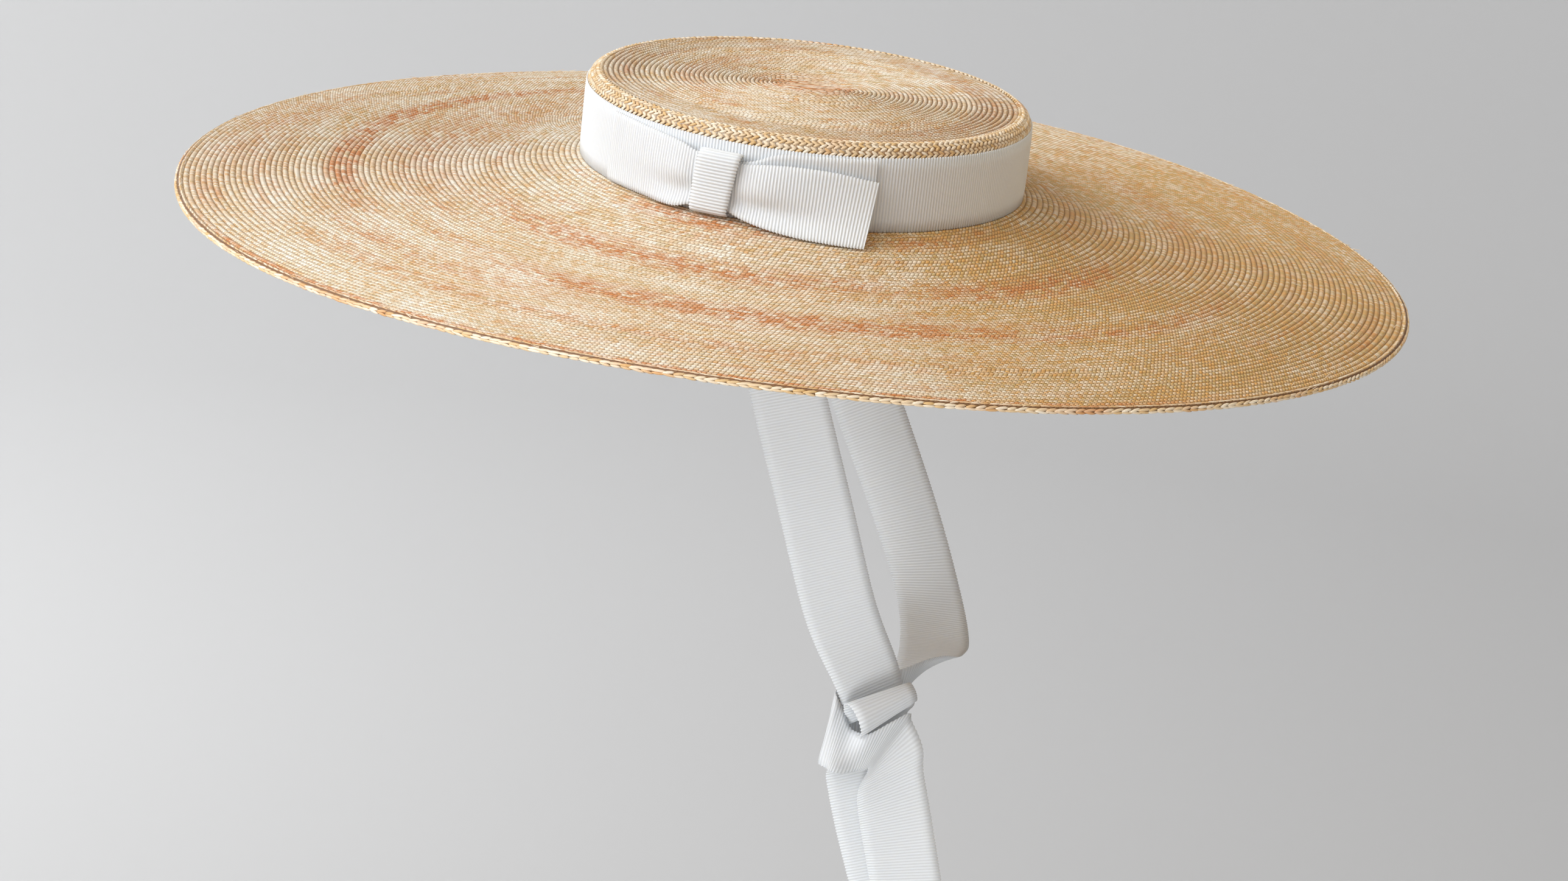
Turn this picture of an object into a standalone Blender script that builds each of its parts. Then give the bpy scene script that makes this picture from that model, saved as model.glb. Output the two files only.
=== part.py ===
"""Boater hat of sewn straw braid with a ribbon band, a flat bow and two chin ribbons tied in a half knot.

Lengths are millimetres in the tables and metres in the mesh. The hat stands level: Z runs up the
crown's axis, X points to the hat's front and -Y is the side of the bow. The origin is the middle of the
head opening, level with the foot of the crown.
"""
import math

import bmesh
import bpy
from mathutils import Matrix, Vector

MM = 0.001

# straw
STRAW_THICKNESS = 2.0
CROWN_RADIUS = 89.0
CROWN_HEIGHT = 34.0
CROWN_CORNER = 5.0
TIP_DOME = 0.6
BRIM_RADIUS = 250.0
BRIM_DROP = 21.4
BRIM_EDGE_THICKNESS = 3.4
BRIM_EDGE_WIDTH = 5.0
ROUND_STEPS = 80

# ribbon
RIBBON_WIDTH = 29.0
RIBBON_THICKNESS = 1.0
GAP = 0.35
BAND_THICKNESS = 1.0
WRAP_THICKNESS = 0.8
STRAP_DROP = 202.5
TAIL_DROP = 90.0
ROWS_BETWEEN_STATIONS = 3

# what follows from the sizes above
BRIM_START = CROWN_RADIUS + GAP
BRIM_REACH = BRIM_RADIUS - BRIM_START
BAND_FACE = CROWN_RADIUS + GAP + BAND_THICKNESS
LAYER = RIBBON_THICKNESS + GAP
SEWN_RADIUS = CROWN_RADIUS - STRAW_THICKNESS - GAP - RIBBON_THICKNESS / 2

# height of the brim's top at shares of the way from the crown to the edge, in brim drops
BRIM_FALL = [
    # share, height
    (0.00, 0.0),
    (0.06, -0.09),
    (0.12, -0.18),
    (0.20, -0.32),
    (0.30, -0.46),
    (0.42, -0.55),
    (0.55, -0.62),
    (0.80, -0.78),
    (1.00, -1.0),
]

# slow waves of the brim's edge in brim drops, growing with the square of the share
BRIM_WAVES = [
    # waves round, cosine part, sine part
    (1, -0.093, -0.159),
    (2, -0.145, 0.005),
    (3, -0.014, 0.023),
    (4, 0.009, -0.023),
]

# bow pieces, one row a station round the crown. Turns are degrees from -Y towards X. Heights are ribbon
# widths, the low one above the brim and the high one above the crown's foot. The radius starts from the
# band's outer face, by a count of ribbon layers and by shares of the ribbon width from the lower selvage
# to the upper one
LEFT_LOOP = [
    # turn low, turn high, height low, height high, layers, shares
    (-55.0, -54.0, 0.021, 0.986, 1.0, (0.0, 0.0, 0.0, 0.0, 0.0)),
    (-48.0, -48.0, 0.023, 0.976, 1.0, (0.007, 0.007, 0.010, 0.007, 0.0)),
    (-40.0, -40.0, 0.028, 0.952, 1.2, (0.025, 0.018, 0.029, 0.022, 0.001)),
    (-34.0, -34.0, 0.039, 0.924, 1.6, (0.065, 0.010, 0.048, 0.031, 0.003)),
    (-29.5, -29.5, 0.064, 0.890, 2.0, (0.081, -0.005, 0.057, 0.040, 0.005)),
    (-26.0, -26.0, 0.117, 0.830, 2.25, (0.044, -0.004, 0.034, 0.028, 0.003)),
    (-20.0, -20.0, 0.151, 0.795, 2.3, (0.002, 0.0, 0.004, 0.002, 0.0)),
]

RIGHT_LOOP = [
    (-18.0, -18.0, 0.151, 0.775, 1.9, (0.0, 0.0, 0.0, 0.0, 0.0)),
    (-12.0, -12.0, 0.120, 0.820, 1.7, (0.0, 0.0, 0.001, 0.0, 0.0)),
    (-5.0, -5.0, 0.036, 0.966, 1.1, (0.001, 0.001, 0.001, 0.001, 0.001)),
    (6.0, 6.0, 0.021, 0.990, 1.0, (0.0, 0.0, 0.0, 0.0, 0.0)),
    (18.4, 18.0, 0.021, 1.000, 1.0, (0.0, 0.0, 0.0, 0.0, 0.0)),
]

BOW_TAIL = [
    (-17.8, -17.8, 0.171, 0.780, 2.95, (0.002, 0.0, 0.002, 0.002, 0.0)),
    (-13.5, -13.5, 0.092, 0.779, 2.95, (0.058, -0.004, 0.034, 0.030, 0.0)),
    (-8.0, -8.0, 0.050, 0.814, 2.8, (0.151, 0.026, 0.095, 0.078, 0.0)),
    (-1.0, -1.0, 0.019, 0.838, 2.6, (0.246, 0.105, 0.115, 0.074, -0.004)),
    (6.5, 8.0, 0.012, 0.807, 2.4, (0.345, 0.210, 0.140, 0.069, -0.004)),
    (14.6, 18.6, 0.008, 0.710, 2.2, (0.437, 0.320, 0.203, 0.099, 0.0)),
]

# section of the wrap that goes right round the gathered middle of the bow
WRAP_SECTION = [
    # layers out from the band, ribbon widths up
    (4.85, 0.172),
    (5.00, 0.448),
    (4.85, 0.741),
    (4.19, 0.848),
    (2.70, 0.886),
    (1.22, 0.869),
    (0.80, 0.759),
    (0.80, 0.448),
    (0.80, 0.155),
    (1.37, 0.066),
    (2.85, 0.048),
    (4.33, 0.083),
]
WRAP_TURNS_LOW = (-25.4, -16.4)
WRAP_TURNS_HIGH = (-24.4, -14.2)

# sewn ends of the chin ribbons, inside the crown's wall
SEWN_ENDS = [
    # turn from the side towards the front, height in crown heights, direction across the ribbon
    (-17.3, 0.70, 0.92, -0.28, 0.28),
    (-14.8, 0.35, 0.92, -0.25, 0.29),
    (-12.4, 0.00, 0.93, -0.22, 0.30),
]

# straps between the crown and the knot. Forward and down are shares of the strap drop, outward is a share
# of the sewn ends' radius, hug is how far the strap still follows the round wall
RIGHT_STRAP = [
    # forward, outward, down, across x, across y, across z, width share, hug
    (-0.072, -0.979, 0.059, 0.94, -0.16, 0.31, 1.0, 0.8),
    (-0.022, -0.966, 0.207, 0.95, -0.06, 0.31, 1.0, 0.3),
    (0.024, -0.929, 0.351, 0.95, 0.0, 0.31, 1.0, 0.0),
    (0.099, -0.833, 0.578, 0.95, 0.05, 0.31, 1.0, 0.0),
    (0.175, -0.714, 0.810, 0.92, 0.20, 0.32, 1.0, 0.0),
]

LEFT_STRAP = [
    (-0.064, 0.979, 0.059, 0.93, 0.16, 0.33, 1.0, -0.8),
    (0.010, 0.956, 0.207, 0.91, 0.06, 0.40, 1.0, -0.3),
    (0.104, 0.894, 0.395, 0.88, 0.0, 0.45, 1.0, 0.0),
    (0.202, 0.801, 0.593, 0.88, -0.05, 0.47, 1.0, 0.0),
    (0.296, 0.662, 0.780, 0.88, -0.20, 0.42, 1.0, 0.0),
    (0.360, 0.453, 0.914, 0.92, -0.30, 0.20, 1.0, 0.0),
    (0.385, 0.186, 0.978, 0.95, -0.10, 0.02, 1.0, 0.0),
    (0.375, -0.093, 0.993, 0.90, 0.30, 0.10, 1.0, 0.0),
]

# the knot's own frame: along its roll, out of its front and up. Its centre is in the straps' shares
KNOT_FORWARD = 0.2815
KNOT_OUTWARD = -0.731
KNOT_ALONG = (0.84, 0.44, 0.32)

# rows of the knot. Along and up are ribbon widths, out is a count of ribbon layers
RIGHT_KNOT_IN = [
    # along, out, up, across along, across out, across up, width share
    (-0.017, -7.11, 0.414, 1.0, 0.0, 0.0, 0.98),
    (0.0, -6.89, 0.103, 1.0, 0.0, 0.0, 0.96),
    (0.0, -6.74, -0.103, 1.0, 0.0, 0.0, 0.96),
    (0.0, -6.59, -0.179, 1.0, 0.0, 0.0, 0.96),
    (0.0, -5.85, -0.221, 1.0, 0.0, 0.0, 0.96),
    (0.0, -5.04, -0.179, 1.0, 0.0, 0.0, 0.96),
    (0.0, -4.74, -0.103, 1.0, 0.0, 0.0, 0.96),
]
ROLL_OUT = 4.8
ROLL_UP = 0.240
ROLL_TURNS = (165.0, 130.0, 95.0, 60.0, 25.0, -10.0, -45.0, -75.0)

RIGHT_KNOT_OUT = [
    (-0.017, -1.11, -0.285, 0.99, 0.05, 0.0, 0.96),
    (-0.052, -3.30, -0.390, 0.99, 0.0, 0.05, 0.95),
    (-0.138, -4.44, -0.534, 0.98, 0.0, 0.10, 0.96),
    (-0.241, -5.63, -0.724, 0.97, 0.0, 0.10, 0.98),
]

LEFT_KNOT = [
    (0.672, -14.44, -0.293, 0.45, 0.30, 0.80, 0.98),
    (0.310, -10.22, -0.276, 0.20, 0.10, 0.97, 0.96),
    (-0.069, -8.81, -0.241, 0.22, 0.0, 0.97, 0.95),
    (-0.448, -8.59, -0.190, 0.30, 0.0, 0.95, 0.96),
    (-0.672, -7.85, -0.152, 0.36, 0.0, 0.93, 0.98),
    (-0.779, -5.63, -0.159, 0.38, 0.0, 0.92, 0.98),
    (-0.772, -3.11, -0.228, 0.40, 0.02, 0.90, 0.88),
    (-0.700, -0.89, -0.470, 0.46, 0.04, 0.85, 0.52),
    (-0.490, 1.30, -0.580, 0.60, 0.05, 0.78, 0.56),
    (-0.250, 2.10, -0.590, 0.72, 0.06, 0.68, 0.72),
    (-0.070, 1.10, -0.590, 0.78, 0.08, 0.60, 0.88),
    (-0.036, 0.37, -0.660, 0.81, 0.09, 0.58, 0.98),
]

# free tails below the knot. Forward and down are shares of the tail drop, out is a count of layers
RIGHT_TAIL = [
    # forward, inward, down, across x, across y, across z, width share
    (-0.062, 4.90, 0.317, 0.92, 0.20, 0.30, 1.0),
    (-0.042, 5.40, 0.417, 0.93, 0.14, 0.30, 1.0),
    (0.018, 5.93, 0.617, 0.94, 0.08, 0.30, 1.0),
    (0.107, 6.30, 0.872, 0.94, 0.06, 0.29, 1.0),
    (0.156, 6.44, 1.000, 0.94, 0.06, 0.29, 1.0),
]

LEFT_TAIL = [
    (0.075, 1.00, 0.288, 0.80, 0.13, 0.58, 1.0),
    (0.080, 1.19, 0.383, 0.86, 0.10, 0.48, 1.0),
    (0.116, 1.78, 0.528, 0.93, 0.08, 0.33, 1.0),
    (0.158, 2.22, 0.683, 0.97, 0.07, 0.20, 1.0),
    (0.207, 2.67, 0.861, 0.98, 0.07, 0.12, 1.0),
    (0.249, 2.96, 1.006, 0.98, 0.07, 0.10, 1.0),
]

COLOURS = {
    "straw": (0.78, 0.60, 0.38, 1.0),
    "ribbon": (0.90, 0.89, 0.87, 1.0),
}


def clear_scene():
    for found in list(bpy.data.objects):
        bpy.data.objects.remove(found, do_unlink=True)


def material(name):
    made = bpy.data.materials.get(name) or bpy.data.materials.new(name)
    made.use_nodes = True
    shader = made.node_tree.nodes["Principled BSDF"]
    shader.inputs["Base Color"].default_value = COLOURS[name]
    shader.inputs["Roughness"].default_value = 0.8
    return made


def new_object(name, bm, material_name):
    mesh = bpy.data.meshes.new(name)
    bm.to_mesh(mesh)
    bm.free()
    made = bpy.data.objects.new(name, mesh)
    bpy.context.scene.collection.objects.link(made)
    mesh.materials.append(material(material_name))
    return made


def table_value(rows, share):
    """Height read from a table of (share, height) rows with a smooth curve through them."""
    last = len(rows) - 1
    for i in range(last):
        if share <= rows[i + 1][0] or i == last - 1:
            break
    s0, h0 = rows[i]
    s1, h1 = rows[i + 1]

    def slope(k):
        low = max(k - 1, 0)
        high = min(k + 1, last)
        return (rows[high][1] - rows[low][1]) / (rows[high][0] - rows[low][0])

    step = s1 - s0
    t = (share - s0) / step
    a = 2 * t ** 3 - 3 * t ** 2 + 1
    b = t ** 3 - 2 * t ** 2 + t
    c = -2 * t ** 3 + 3 * t ** 2
    d = t ** 3 - t ** 2
    return a * h0 + b * step * slope(i) + c * h1 + d * step * slope(i + 1)


def brim_height(share):
    """Height of the brim's top, without its waves."""
    return table_value(BRIM_FALL, share) * BRIM_DROP


def brim_wave(turn, share):
    total = 0.0
    for count, cosine, sine in BRIM_WAVES:
        total += cosine * math.cos(count * turn) + sine * math.sin(count * turn)
    return total * BRIM_DROP * share * share


def brim_top(turn, radius):
    share = max(0.0, (radius - BRIM_START) / BRIM_REACH)
    return brim_height(share) + brim_wave(turn, share)


def screw(made):
    """Turns a profile at +X once round Z."""
    turn = made.modifiers.new("turn", "SCREW")
    turn.steps = ROUND_STEPS
    turn.render_steps = ROUND_STEPS
    turn.angle = math.tau
    turn.use_merge_vertices = True
    turn.merge_threshold = 1e-5
    return made


def profile_object(name, points, closed, material_name):
    bm = bmesh.new()
    made = [bm.verts.new((r * MM, 0.0, z * MM)) for r, z in points]
    for i in range(len(made) - 1):
        bm.edges.new((made[i], made[i + 1]))
    if closed:
        bm.edges.new((made[-1], made[0]))
    return screw(new_object(name, bm, material_name))


def corner(radius, height, size, steps):
    """Quarter round from the flat tip to the upright side."""
    points = []
    for i in range(steps + 1):
        a = math.pi / 2 * (1 - i / steps)
        points.append((radius - size + size * math.cos(a), height - size + size * math.sin(a)))
    return points


def make_crown():
    inner_radius = CROWN_RADIUS - STRAW_THICKNESS
    inner_height = CROWN_HEIGHT - STRAW_THICKNESS
    inner_corner = CROWN_CORNER - STRAW_THICKNESS
    outer = [(0.0, CROWN_HEIGHT + TIP_DOME), (CROWN_RADIUS * 0.5, CROWN_HEIGHT + TIP_DOME * 0.75)]
    outer += corner(CROWN_RADIUS, CROWN_HEIGHT, CROWN_CORNER, 5)
    outer += [(CROWN_RADIUS, -STRAW_THICKNESS)]
    inner = [(0.0, inner_height + TIP_DOME), (CROWN_RADIUS * 0.5, inner_height + TIP_DOME * 0.75)]
    inner += corner(inner_radius, inner_height, inner_corner, 4)
    inner += [(inner_radius, -STRAW_THICKNESS)]
    return profile_object("crown", outer + inner[::-1], False, "straw")


def make_brim():
    shares = [0.0, 0.05, 0.12, 0.2, 0.3, 0.42, 0.55, 0.7, 0.85]
    edge_share = 1 - BRIM_EDGE_WIDTH / BRIM_REACH
    top = [(s, brim_height(s)) for s in shares]
    extra = (BRIM_EDGE_THICKNESS - STRAW_THICKNESS) / 2
    step_share = edge_share + 0.004
    top += [(edge_share, brim_height(edge_share))]
    top += [(step_share, brim_height(step_share) + extra)]
    top += [(1.0 - 0.003, brim_height(1.0) + extra)]
    low = [(s, brim_height(s) - STRAW_THICKNESS) for s in shares]
    low += [(edge_share, brim_height(edge_share) - STRAW_THICKNESS)]
    low += [(step_share, brim_height(step_share) - STRAW_THICKNESS - extra)]
    low += [(1.0 - 0.003, brim_height(1.0) - STRAW_THICKNESS - extra)]
    middle = [(1.0, brim_height(1.0) - STRAW_THICKNESS / 2)]
    outline = top + middle + low[::-1]
    bm = bmesh.new()
    made = [bm.verts.new(((BRIM_START + s * BRIM_REACH) * MM, 0.0, z * MM)) for s, z in outline]
    edges = [bm.edges.new((made[i], made[(i + 1) % len(made)])) for i in range(len(made))]
    bmesh.ops.spin(
        bm, geom=made + edges, cent=(0, 0, 0), axis=(0, 0, 1), angle=math.tau,
        steps=ROUND_STEPS, use_merge=True, use_duplicate=False,
    )
    for vert in bm.verts:
        radius = math.hypot(vert.co.x, vert.co.y) / MM
        share = max(0.0, (radius - BRIM_START) / BRIM_REACH)
        vert.co.z += brim_wave(math.atan2(vert.co.y, vert.co.x), share) * MM
    bmesh.ops.recalc_face_normals(bm, faces=bm.faces)
    return new_object("brim", bm, "straw")


def make_band():
    inner = CROWN_RADIUS + GAP
    outer = BAND_FACE
    low = GAP
    high = GAP + RIBBON_WIDTH
    return profile_object(
        "hat_band", [(outer, high), (outer, low), (inner, low), (inner, high)], True, "ribbon"
    )


def smooth_rows(stations, between):
    """Points on a smooth curve through the stations, each a flat tuple of numbers."""
    rows = []
    last = len(stations) - 1
    for i in range(last):
        before = stations[max(i - 1, 0)]
        first = stations[i]
        second = stations[i + 1]
        after = stations[min(i + 2, last)]
        for k in range(between):
            t = k / between
            row = []
            for p0, p1, p2, p3 in zip(before, first, second, after):
                m1 = (p2 - p0) / 2
                m2 = (p3 - p1) / 2
                a = 2 * t ** 3 - 3 * t ** 2 + 1
                b = t ** 3 - 2 * t ** 2 + t
                c = -2 * t ** 3 + 3 * t ** 2
                d = t ** 3 - t ** 2
                row.append(a * p1 + b * m1 + c * p2 + d * m2)
            rows.append(tuple(row))
    rows.append(tuple(stations[-1]))
    return rows


def sheet(name, grid, thickness, closed=False):
    """A thin woven strip: rows of points across the strip, given its thickness by Solidify."""
    bm = bmesh.new()
    made = [[bm.verts.new(Vector(point) * MM) for point in row] for row in grid]
    count = len(made) if closed else len(made) - 1
    for i in range(count):
        upper = made[i]
        lower = made[(i + 1) % len(made)]
        for j in range(len(upper) - 1):
            bm.faces.new((upper[j], upper[j + 1], lower[j + 1], lower[j]))
    bmesh.ops.recalc_face_normals(bm, faces=bm.faces)
    strip = new_object(name, bm, "ribbon")
    thicken = strip.modifiers.new("thickness", "SOLIDIFY")
    thicken.thickness = thickness * MM
    thicken.offset = 0.0
    thicken.use_even_offset = True
    return strip


def bow_piece(name, table):
    """A gathered piece of ribbon lying round the band."""
    stations = [tuple(row[:5]) + row[5] for row in table]
    grid = []
    for row in smooth_rows(stations, ROWS_BETWEEN_STATIONS):
        turn_low, turn_high, low, high, layers = row[:5]
        radii = [BAND_FACE + layers * LAYER + share * RIBBON_WIDTH for share in row[5:]]
        lift = RIBBON_THICKNESS / 2 + GAP + low * RIBBON_WIDTH
        z_low = brim_top(math.radians(turn_low - 90), radii[0]) + lift
        z_high = high * RIBBON_WIDTH
        points = []
        for j, radius in enumerate(radii):
            share = j / (len(radii) - 1)
            turn = math.radians(turn_low + (turn_high - turn_low) * share)
            height = z_low + (z_high - z_low) * share
            points.append((radius * math.sin(turn), -radius * math.cos(turn), height))
        grid.append(points)
    return sheet(name, grid, RIBBON_THICKNESS)


def make_wrap():
    heights = [up for _, up in WRAP_SECTION]
    low = min(heights)
    high = max(heights)
    grid = []
    for layers, up in WRAP_SECTION:
        radius = BAND_FACE + layers * LAYER
        share = (up - low) / (high - low)
        first = WRAP_TURNS_LOW[0] + (WRAP_TURNS_HIGH[0] - WRAP_TURNS_LOW[0]) * share
        second = WRAP_TURNS_LOW[1] + (WRAP_TURNS_HIGH[1] - WRAP_TURNS_LOW[1]) * share
        points = []
        for j in range(5):
            turn = math.radians(first + (second - first) * j / 4)
            points.append((radius * math.sin(turn), -radius * math.cos(turn), up * RIBBON_WIDTH))
        grid.append(points)
    return sheet("bow_wrap", grid, WRAP_THICKNESS, closed=True)


def knot_frame():
    along = Vector(KNOT_ALONG).normalized()
    out = along.cross(Vector((0, 0, 1))).normalized()
    up = out.cross(along)
    return Matrix((along, out, up)).transposed()


def knot_centre():
    return Vector((KNOT_FORWARD * STRAP_DROP, KNOT_OUTWARD * SEWN_RADIUS, -STRAP_DROP))


def sewn_rows(side):
    """The end that is sewn flat inside the wall; side is -1 for the near ribbon and 1 for the far one."""
    rows = []
    for turn, height, x, y, z in SEWN_ENDS:
        a = math.radians(turn)
        place = (SEWN_RADIUS * math.sin(a), side * SEWN_RADIUS * math.cos(a), height * CROWN_HEIGHT)
        rows.append(place + (x, -side * y, z, 1.0, -side))
    return rows


def strap_rows(table):
    rows = []
    for forward, outward, down, x, y, z, width, hug in table:
        place = (forward * STRAP_DROP, outward * SEWN_RADIUS, -down * STRAP_DROP)
        rows.append(place + (x, y, z, width, hug))
    return rows


def knot_rows(table):
    """Rows given in the knot's own frame, turned into rows of the hat's frame."""
    frame = knot_frame()
    rows = []
    for along, out, up, x, y, z, width in table:
        inside = Vector((along * RIBBON_WIDTH, out * LAYER, up * RIBBON_WIDTH))
        place = knot_centre() + frame @ inside
        across = frame @ Vector((x, y, z))
        rows.append(tuple(place) + tuple(across) + (width, 0.0))
    return rows


def roll_table():
    """The turn of the near ribbon that bulges out of the knot."""
    rows = []
    for turn in ROLL_TURNS:
        a = math.radians(turn)
        rows.append((0.0, ROLL_OUT * math.cos(a), ROLL_UP * math.sin(a), 1.0, 0.0, 0.0, 0.97))
    return rows


def tail_rows(table):
    centre = knot_centre()
    rows = []
    for forward, inward, down, x, y, z, width in table:
        place = centre + Vector((forward * TAIL_DROP, inward * LAYER, -down * TAIL_DROP))
        rows.append(tuple(place) + (x, y, z, width, 0.0))
    return rows


def chin_ribbon(name, stations):
    """A ribbon along its centre line, bent across where it lies on the round wall."""
    wall_bend = (RIBBON_WIDTH / 2) ** 2 / (2 * SEWN_RADIUS)
    grid = []
    for row in smooth_rows(stations, ROWS_BETWEEN_STATIONS):
        centre = Vector(row[:3])
        across = Vector(row[3:6]).normalized()
        half = RIBBON_WIDTH / 2 * row[6]
        points = []
        for j in (-1.0, -0.5, 0.0, 0.5, 1.0):
            point = centre + across * half * j
            point.y += row[7] * wall_bend * j * j
            points.append(point)
        grid.append(points)
    return sheet(name, grid, RIBBON_THICKNESS)


def main():
    clear_scene()
    make_crown()
    make_brim()
    make_band()
    bow_piece("bow_left_loop", LEFT_LOOP)
    bow_piece("bow_right_loop", RIGHT_LOOP)
    bow_piece("bow_tail", BOW_TAIL)
    make_wrap()
    near_knot = knot_rows(RIGHT_KNOT_IN + roll_table() + RIGHT_KNOT_OUT)
    near = sewn_rows(-1) + strap_rows(RIGHT_STRAP) + near_knot + tail_rows(RIGHT_TAIL)
    chin_ribbon("chin_ribbon_right", near)
    far = sewn_rows(1) + strap_rows(LEFT_STRAP) + knot_rows(LEFT_KNOT) + tail_rows(LEFT_TAIL)
    chin_ribbon("chin_ribbon_left", far)


main()
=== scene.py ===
"""Looks of a straw boater hat: rows of straw braid, grosgrain ribbons tied in a half knot, and a plain stage.

The file is laid out as a Blender add-on. Lengths in the tables are millimetres, as in the CAD part, and
the meshes are in metres in the CAD part's frame: Z runs up the crown, X points to the hat's front and -Y
is the side of the bow.
"""

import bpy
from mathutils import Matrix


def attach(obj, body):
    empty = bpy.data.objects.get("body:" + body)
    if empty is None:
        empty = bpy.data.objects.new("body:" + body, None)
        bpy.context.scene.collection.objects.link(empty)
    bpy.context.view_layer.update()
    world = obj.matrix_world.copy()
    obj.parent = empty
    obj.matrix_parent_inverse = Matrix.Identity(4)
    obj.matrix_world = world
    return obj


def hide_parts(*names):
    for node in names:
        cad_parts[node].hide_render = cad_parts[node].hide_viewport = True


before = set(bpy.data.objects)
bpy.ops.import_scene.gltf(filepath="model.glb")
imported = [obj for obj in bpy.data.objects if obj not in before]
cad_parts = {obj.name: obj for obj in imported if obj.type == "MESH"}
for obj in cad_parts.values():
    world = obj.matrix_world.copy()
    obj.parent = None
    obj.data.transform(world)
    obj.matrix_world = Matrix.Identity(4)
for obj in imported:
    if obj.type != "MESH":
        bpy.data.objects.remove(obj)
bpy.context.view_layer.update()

import math
import random

import bmesh
import bpy
import numpy as np
from mathutils import Matrix, Vector

bl_info = {
    "name": "Straw boater hat",
    "version": (1, 0, 0),
    "blender": (4, 5, 0),
    "location": "3D View > Sidebar > Boater hat",
    "description": "Dresses the CAD frame of a straw boater hat with braid, ribbons and a stage",
    "category": "Object",
}

MM = 0.001

# straw, as in the CAD part
STRAW_THICKNESS = 2.0
CROWN_RADIUS = 89.0
CROWN_HEIGHT = 34.0
CROWN_CORNER = 5.0
TIP_DOME = 0.6
BRIM_RADIUS = 250.0
BRIM_DROP = 21.4

# ribbon, as in the CAD part
RIBBON_WIDTH = 29.0
RIBBON_THICKNESS = 1.0
GAP = 0.35
BAND_THICKNESS = 1.0
STRAP_DROP = 202.5
TAIL_DROP = 90.0

# what follows from the sizes above
BRIM_START = CROWN_RADIUS + GAP
BRIM_REACH = BRIM_RADIUS - BRIM_START
BAND_FACE = CROWN_RADIUS + GAP + BAND_THICKNESS
LAYER = RIBBON_THICKNESS + GAP
SEWN_RADIUS = CROWN_RADIUS - STRAW_THICKNESS - GAP - RIBBON_THICKNESS / 2

# height of the brim's top at shares of the way from the crown to the edge, in brim drops
BRIM_FALL = [
    # share, height
    (0.00, 0.0),
    (0.06, -0.09),
    (0.12, -0.18),
    (0.20, -0.32),
    (0.30, -0.46),
    (0.42, -0.55),
    (0.55, -0.62),
    (0.80, -0.78),
    (1.00, -1.0),
]

# slow waves of the brim's edge in brim drops, growing with the square of the share
BRIM_WAVES = [
    # waves round, cosine part, sine part
    (1, -0.093, -0.159),
    (2, -0.145, 0.005),
    (3, -0.014, 0.023),
    (4, 0.009, -0.023),
]

# bow pieces, one row a station round the crown, as in the CAD part
LEFT_LOOP = [
    # turn low, turn high, height low, height high, layers, shares
    (-55.0, -54.0, 0.021, 0.986, 1.0, (0.0, 0.0, 0.0, 0.0, 0.0)),
    (-48.0, -48.0, 0.023, 0.976, 1.0, (0.007, 0.007, 0.010, 0.007, 0.0)),
    (-40.0, -40.0, 0.028, 0.952, 1.2, (0.025, 0.018, 0.029, 0.022, 0.001)),
    (-34.0, -34.0, 0.039, 0.924, 1.6, (0.065, 0.010, 0.048, 0.031, 0.003)),
    (-29.5, -29.5, 0.064, 0.890, 2.0, (0.081, -0.005, 0.057, 0.040, 0.005)),
    (-26.0, -26.0, 0.117, 0.830, 2.25, (0.044, -0.004, 0.034, 0.028, 0.003)),
    (-20.0, -20.0, 0.151, 0.795, 2.3, (0.002, 0.0, 0.004, 0.002, 0.0)),
]

RIGHT_LOOP = [
    (-18.0, -18.0, 0.151, 0.775, 1.9, (0.0, 0.0, 0.0, 0.0, 0.0)),
    (-12.0, -12.0, 0.120, 0.820, 1.7, (0.0, 0.0, 0.001, 0.0, 0.0)),
    (-5.0, -5.0, 0.036, 0.966, 1.1, (0.001, 0.001, 0.001, 0.001, 0.001)),
    (6.0, 6.0, 0.021, 0.990, 1.0, (0.0, 0.0, 0.0, 0.0, 0.0)),
    (18.4, 18.0, 0.021, 1.000, 1.0, (0.0, 0.0, 0.0, 0.0, 0.0)),
]

BOW_TAIL = [
    (-17.8, -17.8, 0.171, 0.780, 2.95, (0.002, 0.0, 0.002, 0.002, 0.0)),
    (-13.5, -13.5, 0.092, 0.779, 2.95, (0.058, -0.004, 0.034, 0.030, 0.0)),
    (-8.0, -8.0, 0.050, 0.814, 2.8, (0.151, 0.026, 0.095, 0.078, 0.0)),
    (-1.0, -1.0, 0.019, 0.838, 2.6, (0.246, 0.105, 0.115, 0.074, -0.004)),
    (6.5, 8.0, 0.012, 0.807, 2.4, (0.345, 0.210, 0.140, 0.069, -0.004)),
    (14.6, 18.6, 0.008, 0.710, 2.2, (0.437, 0.320, 0.203, 0.099, 0.0)),
]

# section of the wrap that goes right round the gathered middle of the bow
WRAP_SECTION = [
    # layers out from the band, ribbon widths up
    (4.85, 0.172),
    (5.00, 0.448),
    (4.85, 0.741),
    (4.19, 0.848),
    (2.70, 0.886),
    (1.22, 0.869),
    (0.80, 0.759),
    (0.80, 0.448),
    (0.80, 0.155),
    (1.37, 0.066),
    (2.85, 0.048),
    (4.33, 0.083),
]
WRAP_TURNS_LOW = (-25.4, -16.4)
WRAP_TURNS_HIGH = (-24.4, -14.2)

# sewn ends of the chin ribbons, inside the crown's wall
SEWN_ENDS = [
    # turn from the side towards the front, height in crown heights, direction across the ribbon
    (-17.3, 0.70, 0.92, -0.28, 0.28),
    (-14.8, 0.35, 0.92, -0.25, 0.29),
    (-12.4, 0.00, 0.93, -0.22, 0.30),
]

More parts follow.
